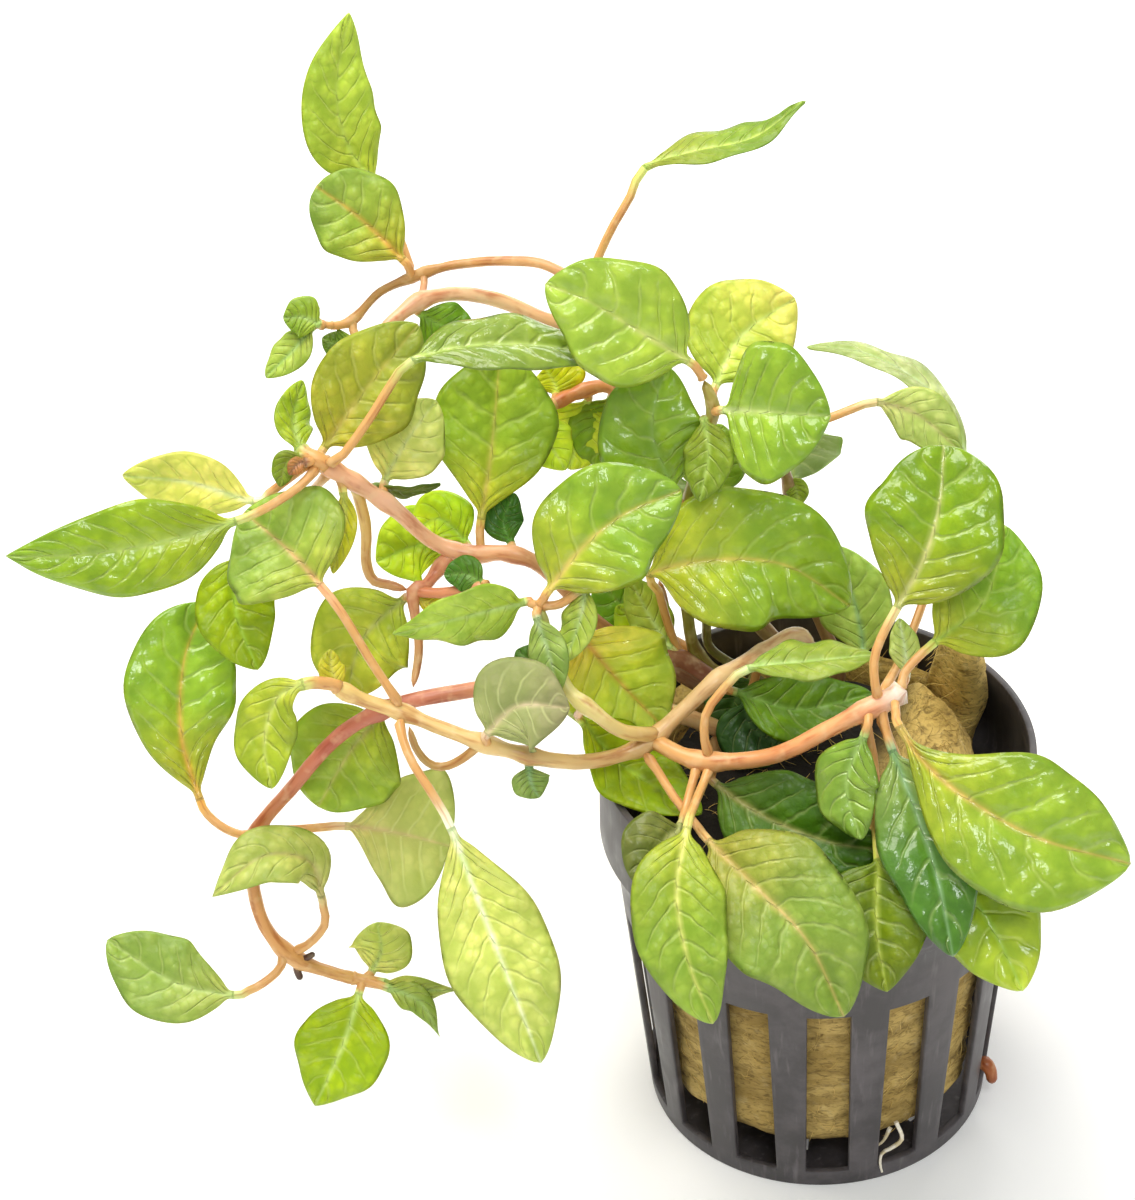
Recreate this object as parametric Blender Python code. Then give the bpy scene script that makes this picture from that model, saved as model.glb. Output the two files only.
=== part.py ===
# A marsh seedbox plant in a slotted net pot with rock wool.
# Metres, +Z up; the origin is the middle of the pot's base, on the surface it stands on.
import math

import bmesh
import bpy
from mathutils import Matrix, Vector

MM = 0.001

# Pot
RIM_RADIUS = 26.0 * MM
COLLAR_FOOT_RADIUS = 26.3 * MM
SHOULDER_RADIUS = 24.6 * MM
BASE_RADIUS = 21.2 * MM
POT_HEIGHT = 53.0 * MM
COLLAR_HEIGHT = 11.0 * MM
SHOULDER_DROP = 3.0 * MM
WALL = 0.9 * MM
FLOOR_THICKNESS = 1.4 * MM
POT_STEPS = 48
SLOT_COUNT = 15
SLOT_WIDTH = 5.3 * MM
SLOT_BOTTOM = 2.4 * MM
SLOT_TOP = 31.0 * MM
SLOT_TURN = math.radians(3.5)
DRAIN_COUNT = 6
DRAIN_INNER = 7.0 * MM
DRAIN_OUTER = 16.0 * MM
DRAIN_WIDTH = 2.6 * MM

# Rock wool
WOOL_TOP = 49.5 * MM
WOOL_FOOT = 5.0 * MM
WOOL_GAP = 0.8 * MM

# Plant
GAP = 0.3 * MM
LEAF_THICKNESS = 0.42 * MM
STEM_SIDES = 6

# The sight line through a point of the photograph: where the eye is, how it looks, its focal length.
PHOTO_MIDDLE = (567.5, 600.0)
PHOTO_FOCAL = 3618.0
EYE = Vector((0.0, -331.6, 330.2)) * MM
EYE_PITCH = math.radians(37.5)
EYE_YAW = math.radians(4.98)
EYE_ROLL = math.radians(-2.99)

EYE_AHEAD = Vector((-math.sin(EYE_YAW) * math.cos(EYE_PITCH),
                    math.cos(EYE_YAW) * math.cos(EYE_PITCH), -math.sin(EYE_PITCH)))
LEVEL_RIGHT = EYE_AHEAD.cross(Vector((0, 0, 1))).normalized()
LEVEL_UP = LEVEL_RIGHT.cross(EYE_AHEAD)
EYE_RIGHT = LEVEL_RIGHT * math.cos(EYE_ROLL) + LEVEL_UP * math.sin(EYE_ROLL)
EYE_UP = LEVEL_UP * math.cos(EYE_ROLL) - LEVEL_RIGHT * math.sin(EYE_ROLL)


def sight(across, down):
    """The direction in which the eye sees a point of the photograph."""
    side = (across - PHOTO_MIDDLE[0]) / PHOTO_FOCAL
    rise = (PHOTO_MIDDLE[1] - down) / PHOTO_FOCAL
    return EYE_AHEAD + EYE_RIGHT * side + EYE_UP * rise


def spot(across, down, behind):
    """The point seen at (across, down) that lies `behind` mm behind the pot's axis."""
    ray = sight(across, down)
    return EYE + ray * ((behind * MM - EYE.y) / ray.y)


def beside(across, down, anchor, nearer):
    """The point seen at (across, down), `nearer` mm nearer to the eye than the anchor."""
    depth = (anchor - EYE).dot(EYE_AHEAD) - nearer * MM
    return EYE + sight(across, down) * depth


def smooth_path(points, count):
    """Evenly spaced points on a smooth curve through the given ones."""
    ends = [points[0] * 2 - points[1]] + points + [points[-1] * 2 - points[-2]]
    fine = []
    for i in range(1, len(ends) - 2):
        a, b, c, d = ends[i - 1:i + 3]
        for step in range(12):
            t = step / 12
            fine.append((b * 2 + (c - a) * t + (a * 2 - b * 5 + c * 4 - d) * t * t
                         + (b * 3 - a - c * 3 + d) * t ** 3) * 0.5)
    fine.append(points[-1].copy())
    reach = [0.0]
    for a, b in zip(fine, fine[1:]):
        reach.append(reach[-1] + (b - a).length)
    path, i = [], 0
    for n in range(count):
        want = reach[-1] * n / (count - 1)
        while i < len(fine) - 2 and reach[i + 1] < want:
            i += 1
        share = (want - reach[i]) / max(reach[i + 1] - reach[i], 1e-9)
        path.append(fine[i].lerp(fine[i + 1], min(max(share, 0.0), 1.0)))
    return path


def tangents(path):
    last = len(path) - 1
    return [(path[min(i + 1, last)] - path[max(i - 1, 0)]).normalized() for i in range(last + 1)]


def seen_at(point):
    """Where the eye sees a point, in the photograph's pixels."""
    ray = point - EYE
    depth = ray.dot(EYE_AHEAD)
    return Vector((PHOTO_MIDDLE[0] + PHOTO_FOCAL * ray.dot(EYE_RIGHT) / depth,
                   PHOTO_MIDDLE[1] - PHOTO_FOCAL * ray.dot(EYE_UP) / depth))


# Stems. root: where it leaves the wool, in mm; fork: the stem it grows from and where it is seen to
# leave it; route: points seen in the photograph, each with its depth behind the pot's axis in mm;
# thick: its diameters at both ends, in mm; tip_leaf: a young leaf that ends the shoot; carries: small
# pieces that grow on it as one solid with it.
STEMS = {
    "stem_front": dict(
        root=(1.0, 8.0), thick=(2.1, 1.5), bones=16,
        route=[(800, 638, 7), (760, 655, 3), (717, 680, -2), (680, 713, -5), (640, 747, -8),
               (579, 762, -11), (510, 751, -12), (441, 728, -11), (404, 713, -10), (361, 699, -10),
               (330, 684, -11)],
        tip_leaf=dict(blade=[(304, 684, 1.5), (277, 700, 1), (265, 742, 0), (272, 789, 0)],
                      width=7.6, turn=14, shape=(0.5, 0.9, 0.7)),
        carries=["leaf_under_stem"]),
    "stem_red": dict(
        root=(-12.0, 3.0), thick=(2.2, 1.5), bones=15,
        route=[(620, 698, 1), (570, 686, 0), (530, 682, -1), (470, 690, -3), (397, 705, -5),
               (340, 735, -6), (290, 790, -7), (258, 830, -8), (252, 870, -9), (262, 920, -11),
               (290, 955, -12), (330, 972, -12), (362, 980, -12)],
        tip_leaf=dict(blade=[(384, 984, 0), (418, 989, 0.4), (458, 990, 0)], width=3.6, turn=25,
                      shape=(0.35, 0.9, 1.3)),
        carries=["leaf_round_low"]),
    "stem_left": dict(
        root=(-9.0, 6.0), thick=(1.7, 1.9), bones=12,
        route=[(650, 658, 6), (622, 641, 6), (592, 618, 6), (564, 588, 6.5), (536, 563, 7),
               (505, 553, 7.5), (470, 554, 8), (432, 541, 8), (396, 510, 7), (354, 482, 6),
               (316, 459, 5)],
        tip_leaf=dict(blade=[(302, 450, -1), (292, 420, -3), (302, 380, -5)], width=5.0, turn=30)),
    "stem_trunk": dict(
        root=(-2.0, 14.0), thick=(2.2, 1.7), bones=13,
        route=[(705, 560, 16), (655, 470, 20), (622, 385, 23), (590, 335, 26), (540, 318, 26),
               (510, 304, 26), (480, 296, 25), (450, 294, 24), (420, 301, 22), (392, 322, 19),
               (382, 336, 17)],
        carries=["stem_inner"]),
    "stem_middle": dict(
        root=(-9.5, 10.5), thick=(1.6, 1.2), bones=9,
        route=[(698, 655, 9), (687, 610, 10), (684, 560, 11), (690, 500, 12), (700, 445, 13),
               (713, 412, 14), (704, 380, 15)]),
    "stem_right": dict(
        root=(2.5, 16.0), thick=(1.8, 1.2), bones=7,
        route=[(808, 590, 17), (800, 540, 18), (790, 490, 19), (775, 435, 19), (765, 400, 20)]),
    "stem_front_right": dict(
        fork=("stem_front", 655, 742), thick=(2.0, 1.9), bones=8,
        route=[(686, 757, -10), (717, 762, -11), (778, 754, -12), (848, 719, -12), (885, 701, -11),
               (904, 692, -11)]),
    "stem_front_left": dict(
        fork=("stem_front", 655, 736), thick=(1.9, 1.3), bones=8,
        route=[(622, 731, -10), (594, 712, -10), (567, 688, -8), (553, 650, -5), (538, 606, -3)]),
    "stem_hanging": dict(
        fork=("stem_left", 452, 552), thick=(1.6, 0.9), bones=8,
        route=[(437, 571, 7), (426, 585, 5), (413, 594, 4), (419, 646, 1), (413, 688, -3)],
        carries=["leaf_bright_behind"]),
    "stem_top": dict(
        fork=("stem_trunk", 588, 333), thick=(1.4, 0.9), bones=12,
        route=[(580, 290, 27), (548, 266, 29), (510, 261, 30), (470, 263, 31), (440, 268, 31),
               (413, 277, 31), (380, 292, 30), (355, 318, 29), (340, 325, 28), (322, 325, 27)],
        tip_leaf=dict(blade=[(312, 328, 0), (294, 350, 0), (266, 378, 0)], width=4.5, turn=20)),
    "stem_inner": dict(
        fork=("stem_trunk", 630, 402), thick=(1.6, 1.3), bones=5,
        route=[(605, 386, 23), (572, 395, 22), (546, 408, 20)],
        tip_leaf=dict(blade=[(538, 412, 0), (548, 440, -1), (566, 470, -2)], width=6.0, turn=0)),
}

# Leaves. stem and at: the stem it grows from and where it is seen to leave it; stalk and blade: the
# midrib's points in the photograph, each with how far it is nearer than the stem, in mm; width: the
# blade's real width in mm; turn: how far the blade turns about its midrib from facing the eye, in
# degrees; face: for a leaf that points away, the way its upper side looks; under: its lower side shows;
# shape: where the blade is widest, as a share of its length, and how pointed its foot and its tip are,
# less than 1 for a round end.
LEAVES = {
    "leaf_top_tall": dict(
        stem="stem_top", at=(413, 277), stalk=[(406, 255, -1), (394, 225, -2)],
        blade=[(376, 187, -2), (346, 142, 0), (336, 85, 2), (349, 12, 4)], width=9.5, turn=15),
    "leaf_top_short": dict(
        stem="stem_top", at=(413, 277), stalk=[(409, 268, 1)],
        blade=[(403, 260, 1.5), (360, 218, 2.5), (316, 186, 3)], width=11.0, turn=0),
    "leaf_top_right": dict(
        stem="stem_top", at=(585, 292), stalk=[(598, 258, 0), (612, 228, 1), (630, 197, 1)],
        blade=[(645, 168, 1), (695, 152, 2), (755, 138, 3), (806, 101, 4)], width=8.0, turn=-62),
    "leaf_top_middle": dict(
        stem="stem_middle", at=(704, 380), stalk=[(697, 369, 1)],
        blade=[(688, 361, 1.5), (640, 332, 3), (590, 302, 4), (545, 284, 4)], width=14.5, turn=0),
    "leaf_top_long": dict(
        stem="stem_left", at=(323, 463), stalk=[(340, 458, 2), (372, 415, 3), (390, 386, 3)],
        blade=[(412, 361, 3), (470, 346, 2), (540, 346, 0), (602, 358, -3)], width=9.0, turn=-45),
    "leaf_centre": dict(
        stem="stem_left", at=(480, 553), stalk=[(480, 535, 0)],
        blade=[(481, 520, 0), (492, 445, 0.5), (500, 352, 0)], width=14.0, turn=0),
    "leaf_olive_upper": dict(
        stem="stem_left", at=(319, 461), stalk=[(321, 455, -0.5)],
        blade=[(324, 448, -1), (366, 388, -1.5), (418, 324, -3)], width=12.5, turn=10),
    "leaf_pale_small": dict(
        stem="stem_left", at=(385, 503), stalk=[(384, 492, -1)],
        blade=[(385, 481, -1.5), (406, 442, -1.5), (436, 400, -2)], width=9.5, turn=0),
    "leaf_left_pale": dict(
        stem="stem_left", at=(316, 460), stalk=[(292, 476, -2), (268, 494, -3)],
        blade=[(254, 501, -3), (190, 482, -3), (122, 475, -3)], width=8.0, turn=-25),
    "leaf_left_far": dict(
        stem="stem_left", at=(322, 464), stalk=[(302, 484, 1), (275, 503, 1), (252, 515, 1)],
        blade=[(236, 521, 1), (160, 543, 2), (80, 555, 3), (5, 556, 3)], width=11.0, turn=-10),
    "leaf_left_broad": dict(
        stem="stem_front", at=(404, 713), stalk=[(397, 700, 1), (372, 663, 2), (343, 615, 3)],
        blade=[(321, 586, 3), (288, 550, 2), (244, 512, 0)], width=16.5, turn=0),
    "leaf_left_bright": dict(
        stem="stem_left", at=(332, 468), stalk=[(303, 500, -9), (262, 532, -9)],
        blade=[(238, 556, -8), (236, 612, -7), (258, 670, -6)], width=9.5, turn=0),
    "leaf_left_tall": dict(
        stem="stem_red", at=(258, 830), stalk=[(243, 835, 0.5), (224, 828, 1), (208, 815, 1)],
        blade=[(200, 800, 1), (181, 735, 1), (184, 660, 1), (206, 603, 0)], width=13.5, turn=5,
        shape=(0.58, 1.25, 0.6)),
    "leaf_behind_red": dict(
        stem="stem_red", at=(382, 713), stalk=[(381, 711, -2)],
        blade=[(382, 714, -4.2), (350, 752, -7), (318, 807, -9.5)], width=14.5, turn=0,
        shape=(0.45, 0.75, 0.6)),
    "leaf_olive_low": dict(
        stem="stem_hanging", at=(413, 594), stalk=[(408, 597, -1)],
        blade=[(403, 600, -1.5), (362, 640, -2), (346, 700, -3)], width=12.5, turn=0),
    "leaf_light_middle": dict(
        stem="stem_front_left", at=(538, 606), stalk=[(530, 603, 0)],
        blade=[(524, 602, 0), (460, 617, 1.8), (392, 634, 1.6)], width=8.5, turn=-40,
        shape=(0.3, 0.8, 1.0)),
    "leaf_bright_behind": dict(
        stem="stem_hanging", at=(440, 568), stalk=[(446, 560, -3)],
        blade=[(446, 553, -4), (418, 545, -5), (376, 562, -5)], width=9.5, turn=0),
    "leaf_purple": dict(
        stem="stem_front", at=(487, 744), stalk=[(486, 739, 2)],
        blade=[(487, 734, 2.5), (518, 706, 3), (570, 708, 4)], width=11.5, turn=0, under=True),
    "leaf_under_stem": dict(
        stem="stem_front", at=(528, 756), stalk=[(529, 763, -0.5)],
        blade=[(529, 767, -0.5), (531, 782, -0.5), (539, 798, -0.5)], width=4.6, turn=0),
    "leaf_left_low": dict(
        stem="stem_red", at=(258, 830), stalk=[(276, 830, -0.5), (300, 829, -1), (325, 827, -1)],
        blade=[(345, 826, -1), (394, 832, -1), (450, 846, -1.5)], width=17.0, turn=0, under=True,
        shape=(0.72, 1.3, 0.45)),
    "leaf_long_hanging": dict(
        stem="stem_front", at=(404, 713), stalk=[(400, 728, 1), (411, 760, 2), (433, 795, 2)],
        blade=[(451, 828, 2), (480, 905, 3), (511, 985, 3), (541, 1063, 2)], width=12.8, turn=0,
        shape=(0.52, 1.1, 0.75)),
    "leaf_folded": dict(
        stem="stem_red", at=(290, 955), stalk=[(310, 943, 1), (325, 924, 3), (323, 905, 4)],
        blade=[(321, 895, 6), (308, 861, 9), (262, 857, 11), (212, 897, 11)], width=7.5, turn=20),
    "leaf_low_left": dict(
        stem="stem_red", at=(284, 950), stalk=[(280, 968, 0.5), (262, 984, 1), (245, 992, 1)],
        blade=[(234, 995, 1), (175, 983, 1), (107, 940, 1)], width=10.5, turn=0),
    "leaf_lowest": dict(
        stem="stem_red", at=(362, 980), stalk=[(361, 987, 0.5)],
        blade=[(359, 993, 0.7), (343, 1045, 1.8), (315, 1106, 0.4)], width=11.5, turn=0,
        shape=(0.45, 0.85, 0.9)),
    "leaf_round_low": dict(
        stem="stem_red", at=(362, 980), stalk=[(369, 975, -0.5)],
        blade=[(372, 971, -0.8), (381, 950, -1), (377, 922, -1)], width=7.8, turn=0,
        shape=(0.5, 0.7, 0.6)),
    "leaf_middle_left": dict(
        stem="stem_front_left", at=(538, 606), stalk=[(544, 598, 0.5)],
        blade=[(549, 590, 1), (582, 548, 2), (624, 514, 2), (682, 490, 1)], width=14.5, turn=0),
    "leaf_glossy_middle": dict(
        stem="stem_middle", at=(699, 662), stalk=[(681, 655, 1), (667, 621, 4), (659, 592, 7.5)],
        blade=[(650, 574, 10.3), (710, 560, 11.4), (785, 565, 10.6), (850, 606, 8.5)], width=17.0, turn=0,
        shape=(0.4, 0.62, 0.72)),
    "leaf_dark_upper": dict(
        stem="stem_middle", at=(688, 515), stalk=[(680, 503, 2)],
        blade=[(673, 490, 3), (652, 428, 5.5), (666, 365, 6)], width=13.0, turn=0),
    "leaf_glossy_upper": dict(
        stem="stem_middle", at=(713, 412), stalk=[(718, 411, 1.5)],
        blade=[(724, 410, 2), (774, 412, 5), (831, 416, 6)], width=16.5, turn=0),
    "leaf_pale_top": dict(
        stem="stem_middle", at=(713, 408), stalk=[(713, 396, -1)],
        blade=[(716, 385, -2), (742, 335, -3), (795, 298, -4)], width=13.5, turn=0),
    "leaf_right_edge": dict(
        stem="stem_right", at=(775, 432), stalk=[(800, 427, 2), (829, 418, 3), (860, 406, 3)],
        blade=[(876, 402, 3), (918, 414, 2), (962, 452, 1)], width=7.0, turn=15,
        shape=(0.45, 1.1, 0.8)),
    "leaf_right_band": dict(
        stem="stem_front_right", at=(878, 704),
        stalk=[(905, 650, -9), (938, 560, -15), (963, 495, -18)],
        blade=[(966, 460, -18), (934, 396, -18), (870, 356, -18), (806, 347, -18)], width=7.0, turn=65),
    "leaf_right_big": dict(
        stem="stem_front_right", at=(884, 701), stalk=[(876, 690, 1), (874, 661, 1.5), (882, 636, 1.5)],
        blade=[(897, 608, 1.5), (926, 553, 2), (940, 500, 2), (944, 445, 1)], width=16.0, turn=0,
        shape=(0.5, 0.95, 0.5)),
    "leaf_right_behind": dict(
        stem="stem_front_right", at=(898, 695), stalk=[(904, 674, -1), (919, 656, -1.5)],
        blade=[(934, 643, -2), (986, 597, -4), (1005, 525, -5)], width=13.0, turn=0),
    "leaf_grey_back": dict(
        stem="stem_front", at=(800, 638), stalk=[(835, 658, -2)],
        blade=[(862, 655, -3), (854, 600, -3), (832, 545, -3)], width=9.0, turn=0),
    "leaf_in_pot": dict(
        stem="stem_front_left", at=(550, 645), stalk=[(564, 633, -1)],
        blade=[(578, 634, -3), (618, 680, -8), (664, 728, -12)], width=14.5, turn=0),
    "leaf_under_front": dict(
        stem="stem_front_left", at=(585, 705), stalk=[(580, 713, -3)],
        blade=[(582, 721, -5.5), (628, 770, -9.5), (702, 814, -6)], width=10.0, turn=-30),
    "leaf_narrow_light": dict(
        stem="stem_front_right", at=(714, 762), stalk=[(705, 742, 1), (706, 714, 2), (723, 690, 2)],
        blade=[(748, 669, 2), (812, 662, 2), (876, 656, 1)], width=8.0, turn=-55),
    "leaf_dark_middle": dict(
        stem="stem_front", at=(717, 680), stalk=[(728, 690, -2)],
        blade=[(736, 692, -3), (800, 710, -4), (872, 694, -5)], width=9.0, turn=-20),
    "leaf_dark_front": dict(
        stem="stem_front_right", at=(712, 762), stalk=[(712, 773, -1.5)],
        blade=[(716, 784, -1.5), (768, 818, 0), (830, 842, 2), (884, 850, 3.5)], width=12.5, turn=0),
    "leaf_curled": dict(
        stem="stem_front_right", at=(868, 711), stalk=[(868, 724, 1.5)],
        blade=[(864, 736, 1), (847, 786, 0), (862, 840, 0.5)], width=8.0, turn=20),
    "leaf_dark_hanging": dict(
        stem="stem_front_right", at=(880, 703), stalk=[(884, 720, 0.2), (888, 738, 0.2)],
        blade=[(892, 750, 0.6), (917, 814, 2.2), (938, 880, 5), (953, 957, 5.5)], width=11.0, turn=0),
    "leaf_round_right": dict(
        stem="stem_front_right", at=(897, 696), stalk=[(896, 714, 2.4)],
        blade=[(899, 726, 3.2), (926, 764, 4.6), (968, 799, 6.2), (1038, 838, 7.5), (1131, 864, 6)],
        width=18.0, turn=0, shape=(0.6, 2.0, 0.6)),
    "leaf_below_round": dict(
        stem="stem_front_right", at=(874, 708), stalk=[(898, 760, -3.5), (925, 830, -1)],
        blade=[(943, 862, 0.5), (988, 920, 2.5), (1023, 991, 3.5)], width=12.0, turn=0),
    "leaf_olive_front": dict(
        stem="stem_front_right", at=(864, 712), stalk=[(874, 762, -3.5), (876, 830, -0.5)],
        blade=[(878, 860, 1.2), (877, 930, 3), (887, 992, 3.5)], width=13.5, turn=0,
        shape=(0.36, 0.7, 0.8)),
    "leaf_front_left": dict(
        stem="stem_front_right", at=(712, 764), stalk=[(704, 782, 1), (694, 806, 4)],
        blade=[(687, 828, 7.5), (677, 890, 11), (688, 960, 11.5), (713, 1024, 11)], width=11.0, turn=0),
    "leaf_front_big": dict(
        stem="stem_front", at=(640, 747), stalk=[(657, 770, 1), (674, 797, 2.5), (697, 826, 4)],
        blade=[(709, 841, 8), (758, 889, 12.5), (808, 942, 14), (844, 1017, 13)], width=16.3, turn=0,
        shape=(0.42, 0.75, 0.7)),
    "leaf_back_right": dict(
        stem="stem_right", at=(772, 420), stalk=[(778, 425, -4)],
        blade=[(783, 428, -7), (790, 445, -16), (795, 480, -26)], width=13.0, turn=0,
        face=(0.1, 0.5, 0.85)),
    "leaf_back_middle": dict(
        stem="stem_trunk", at=(660, 480), stalk=[(655, 478, -4)],
        blade=[(652, 480, -7), (645, 500, -16), (640, 540, -25)], width=12.0, turn=0,
        face=(-0.1, 0.5, 0.85)),
}

STALK_THICK = 1.1 * MM
SHORTEST_STALK = 1.3 * MM
PLAIN_SHAPE = (0.42, 0.85, 0.7)
FOLD = math.radians(12)
BLADE_SHARES = (0.0, 0.12, 0.3, 0.5, 0.72, 0.9, 1.0)
CORNERS = 6


def loft(name, rings, material):
    """One closed solid through rings of points, grown by extruding its end face."""
    shape = bmesh.new()
    ring = bmesh.ops.create_circle(shape, cap_ends=True, segments=len(rings[0]), radius=1.0)["verts"]
    for corner, place in zip(ring, rings[0]):
        corner.co = place
    end = next(iter(shape.faces))
    for places in rings[1:]:
        before = {corner.co.to_tuple(9): i for i, corner in enumerate(ring)}
        grown = bmesh.ops.extrude_face_region(shape, geom=[end])["geom"]
        if places is not rings[1]:
            bmesh.ops.delete(shape, geom=[end], context="FACES_ONLY")
        end = next(item for item in grown if isinstance(item, bmesh.types.BMFace))
        ordered = [None] * len(ring)
        for corner in end.verts:
            ordered[before[corner.co.to_tuple(9)]] = corner
        ring = ordered
        for corner, place in zip(ring, places):
            corner.co = place
    bmesh.ops.triangulate(shape, faces=shape.faces)
    return finish(name, shape, material)


def finish(name, shape, material):
    bmesh.ops.recalc_face_normals(shape, faces=shape.faces)
    mesh = bpy.data.meshes.new(name)
    shape.to_mesh(mesh)
    shape.free()
    thing = bpy.data.objects.new(name, mesh)
    bpy.context.scene.collection.objects.link(thing)
    thing.data.materials.append(material)
    thing.data.shade_smooth()
    return thing


def paint(name, colour, roughness):
    material = bpy.data.materials.new(name)
    material.use_nodes = True
    shader = material.node_tree.nodes["Principled BSDF"]
    shader.inputs["Base Color"].default_value = (*colour, 1.0)
    shader.inputs["Roughness"].default_value = roughness
    shader.inputs["Metallic"].default_value = 0.0
    return material


def round_ring(place, side, up, radius, corners):
    return [place + side * (-radius * math.cos(2 * math.pi * k / corners))
            + up * (radius * math.sin(2 * math.pi * k / corners)) for k in range(corners)]


def blade_ring(place, side, up, half):
    """A thin lens across the blade, folded a little along its midrib."""
    spread = [-1.0, -0.4, 0.4, 1.0, 0.4, -0.4]
    level = [0, 1, 1, 0, -1, -1]
    body = min(LEAF_THICKNESS, half) / 2
    ring = []
    for k in range(CORNERS):
        across = half * spread[k]
        high = abs(across) * math.tan(FOLD) + level[k] * body
        ring.append(place + side * across + up * high)
    return ring


def outline(share, half, shape):
    """Half the blade's width at a share of its length."""
    belly, foot, tip = shape
    if share < belly:
        return half * math.sin(math.pi / 2 * share / belly) ** foot
    return half * max(math.cos(math.pi / 2 * (share - belly) / (1 - belly)), 0.0) ** tip


def side_of(along, place, turn, face):
    """The direction across a blade whose midrib runs along."""
    if face:
        side = along.cross(Vector(face)).normalized()
    else:
        side = along.cross((EYE - place).normalized()).normalized()
    return (Matrix.Rotation(math.radians(turn), 3, along) @ side).normalized()


def leaf_rings(stalk, blade, spec, stalk_bones=0):
    """Rings along the stalk and the blade of one leaf."""
    half = spec["width"] * MM / 2
    shape = spec.get("shape", PLAIN_SHAPE)
    whole = smooth_path(stalk + blade, 60)
    start = min(range(60), key=lambda i: (whole[i] - blade[0]).length)
    bones = stalk_bones or max(3, len(stalk) + 1)
    places = [whole[round(start * n / bones)] for n in range(bones)]
    shares = [None] * bones
    for share in BLADE_SHARES:
        where = start + (59 - start) * share
        low = int(min(where, 58))
        places.append(whole[low].lerp(whole[low + 1], where - low))
        shares.append(share)
    ways = tangents(places)
    rings = []
    for place, along, share in zip(places, ways, shares):
        side = side_of(along, place, spec["turn"], spec.get("face"))
        up = side.cross(along)
        if not share:
            rings.append(round_ring(place, side, up, STALK_THICK / 2, CORNERS))
        else:
            rings.append(blade_ring(place, side, up, max(outline(share, half, shape), 0.2 * MM)))
    return rings


def stem_path(name, paths):
    spec = STEMS[name]
    route = [spot(*point) for point in spec["route"]]
    if "root" in spec:
        foot = Vector((spec["root"][0] * MM, spec["root"][1] * MM, WOOL_TOP + 2 * GAP))
        rise = foot + Vector((0, 0, 3 * MM))
        return smooth_path([foot, rise] + route, spec["bones"])
    parent, across, down = spec["fork"]
    start = leave(parent, (across, down), route[0], spec["thick"][0] * MM / 2, paths)
    if name in CARRIED:
        start = nearest(paths[parent], (across, down))
    return smooth_path([start] + route, spec["bones"])


def thickness(name, share):
    first, last = STEMS[name]["thick"]
    return (first + (last - first) * share) * MM


def nearest(path, at):
    """The point of a path that the eye sees nearest to `at`."""
    seen = Vector(at)
    return min(smooth_path(path, 160), key=lambda place: (seen_at(place) - seen).length)


def leave(stem, at, toward, radius, paths):
    """The point just clear of a stem where a stalk or a branch leaves it."""
    path = smooth_path(paths[stem], 160)
    seen = Vector(at)
    i = min(range(160), key=lambda k: (seen_at(path[k]) - seen).length)
    along = (path[min(i + 1, 159)] - path[max(i - 1, 0)]).normalized()
    out = toward - path[i]
    if i < 156:
        out -= along * out.dot(along)
    out.normalize()
    return path[i] + out * (thickness(stem, i / 159) / 2 + GAP + radius * 0.7)


def make_stem(name, paths):
    path = paths[name]
    spec = STEMS[name]
    tip = spec.get("tip_leaf")
    corners = CORNERS if tip else STEM_SIDES
    ways = tangents(path)
    side = ways[0].orthogonal().normalized()
    if tip:
        side = side_of(ways[0], path[0], tip["turn"], None)
    rings = []
    for i, (place, along) in enumerate(zip(path, ways)):
        side = (side - along * side.dot(along)).normalized()
        if tip:
            side = side_of(along, place, tip["turn"], None)
        radius = thickness(name, i / (len(path) - 1)) / 2
        rings.append(round_ring(place, side, side.cross(along), radius, corners))
    if tip:
        blade = [beside(*point[:2], path[-1], point[2]) for point in tip["blade"]]
        rings = rings[:-1] + leaf_rings([path[-1]], blade, tip, 1)
    return loft(name, rings, STEM_PAINT)


def make_leaf(name, paths):
    spec = LEAVES[name]
    anchor = nearest(paths[spec["stem"]], spec["at"])
    stalk = [beside(*point[:2], anchor, point[2]) for point in spec["stalk"]]
    blade = [beside(*point[:2], anchor, point[2]) for point in spec["blade"]]
    start = leave(spec["stem"], spec["at"], stalk[0], STALK_THICK / 2, paths)
    if name in CARRIED:
        start = anchor
    stalk = [point for point in stalk if (point - start).length > SHORTEST_STALK]
    if (blade[0] - start).length < SHORTEST_STALK:
        blade[0] = start + (blade[1] - start).normalized() * SHORTEST_STALK
    rings = leaf_rings([start] + stalk, blade, spec)
    colour = UNDER_PAINT if spec.get("under") else LEAF_PAINT
    return loft(name, rings, colour)


def fuse(body, extra):
    """Joins a grown-on piece to its stem as one solid."""
    extra.hide_render = True
    extra.display_type = "WIRE"
    joint = body.modifiers.new("fused " + extra.name, "BOOLEAN")
    joint.operation = "UNION"
    joint.object = extra


def inner_radius(height):
    """The pot's inner radius at a height."""
    knee = POT_HEIGHT - COLLAR_HEIGHT - SHOULDER_DROP
    if height < knee:
        return BASE_RADIUS + (SHOULDER_RADIUS - BASE_RADIUS) * height / knee - WALL
    share = min((height - knee) / SHOULDER_DROP, 1.0)
    return SHOULDER_RADIUS + (COLLAR_FOOT_RADIUS - SHOULDER_RADIUS) * share - WALL


def box(shape, size, place, turn):
    cube = bmesh.ops.create_cube(shape, size=1.0)["verts"]
    bmesh.ops.scale(shape, vec=size, verts=cube)
    bmesh.ops.translate(shape, vec=place, verts=cube)
    bmesh.ops.rotate(shape, cent=(0, 0, 0), matrix=Matrix.Rotation(turn, 3, "Z"), verts=cube)


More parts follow.
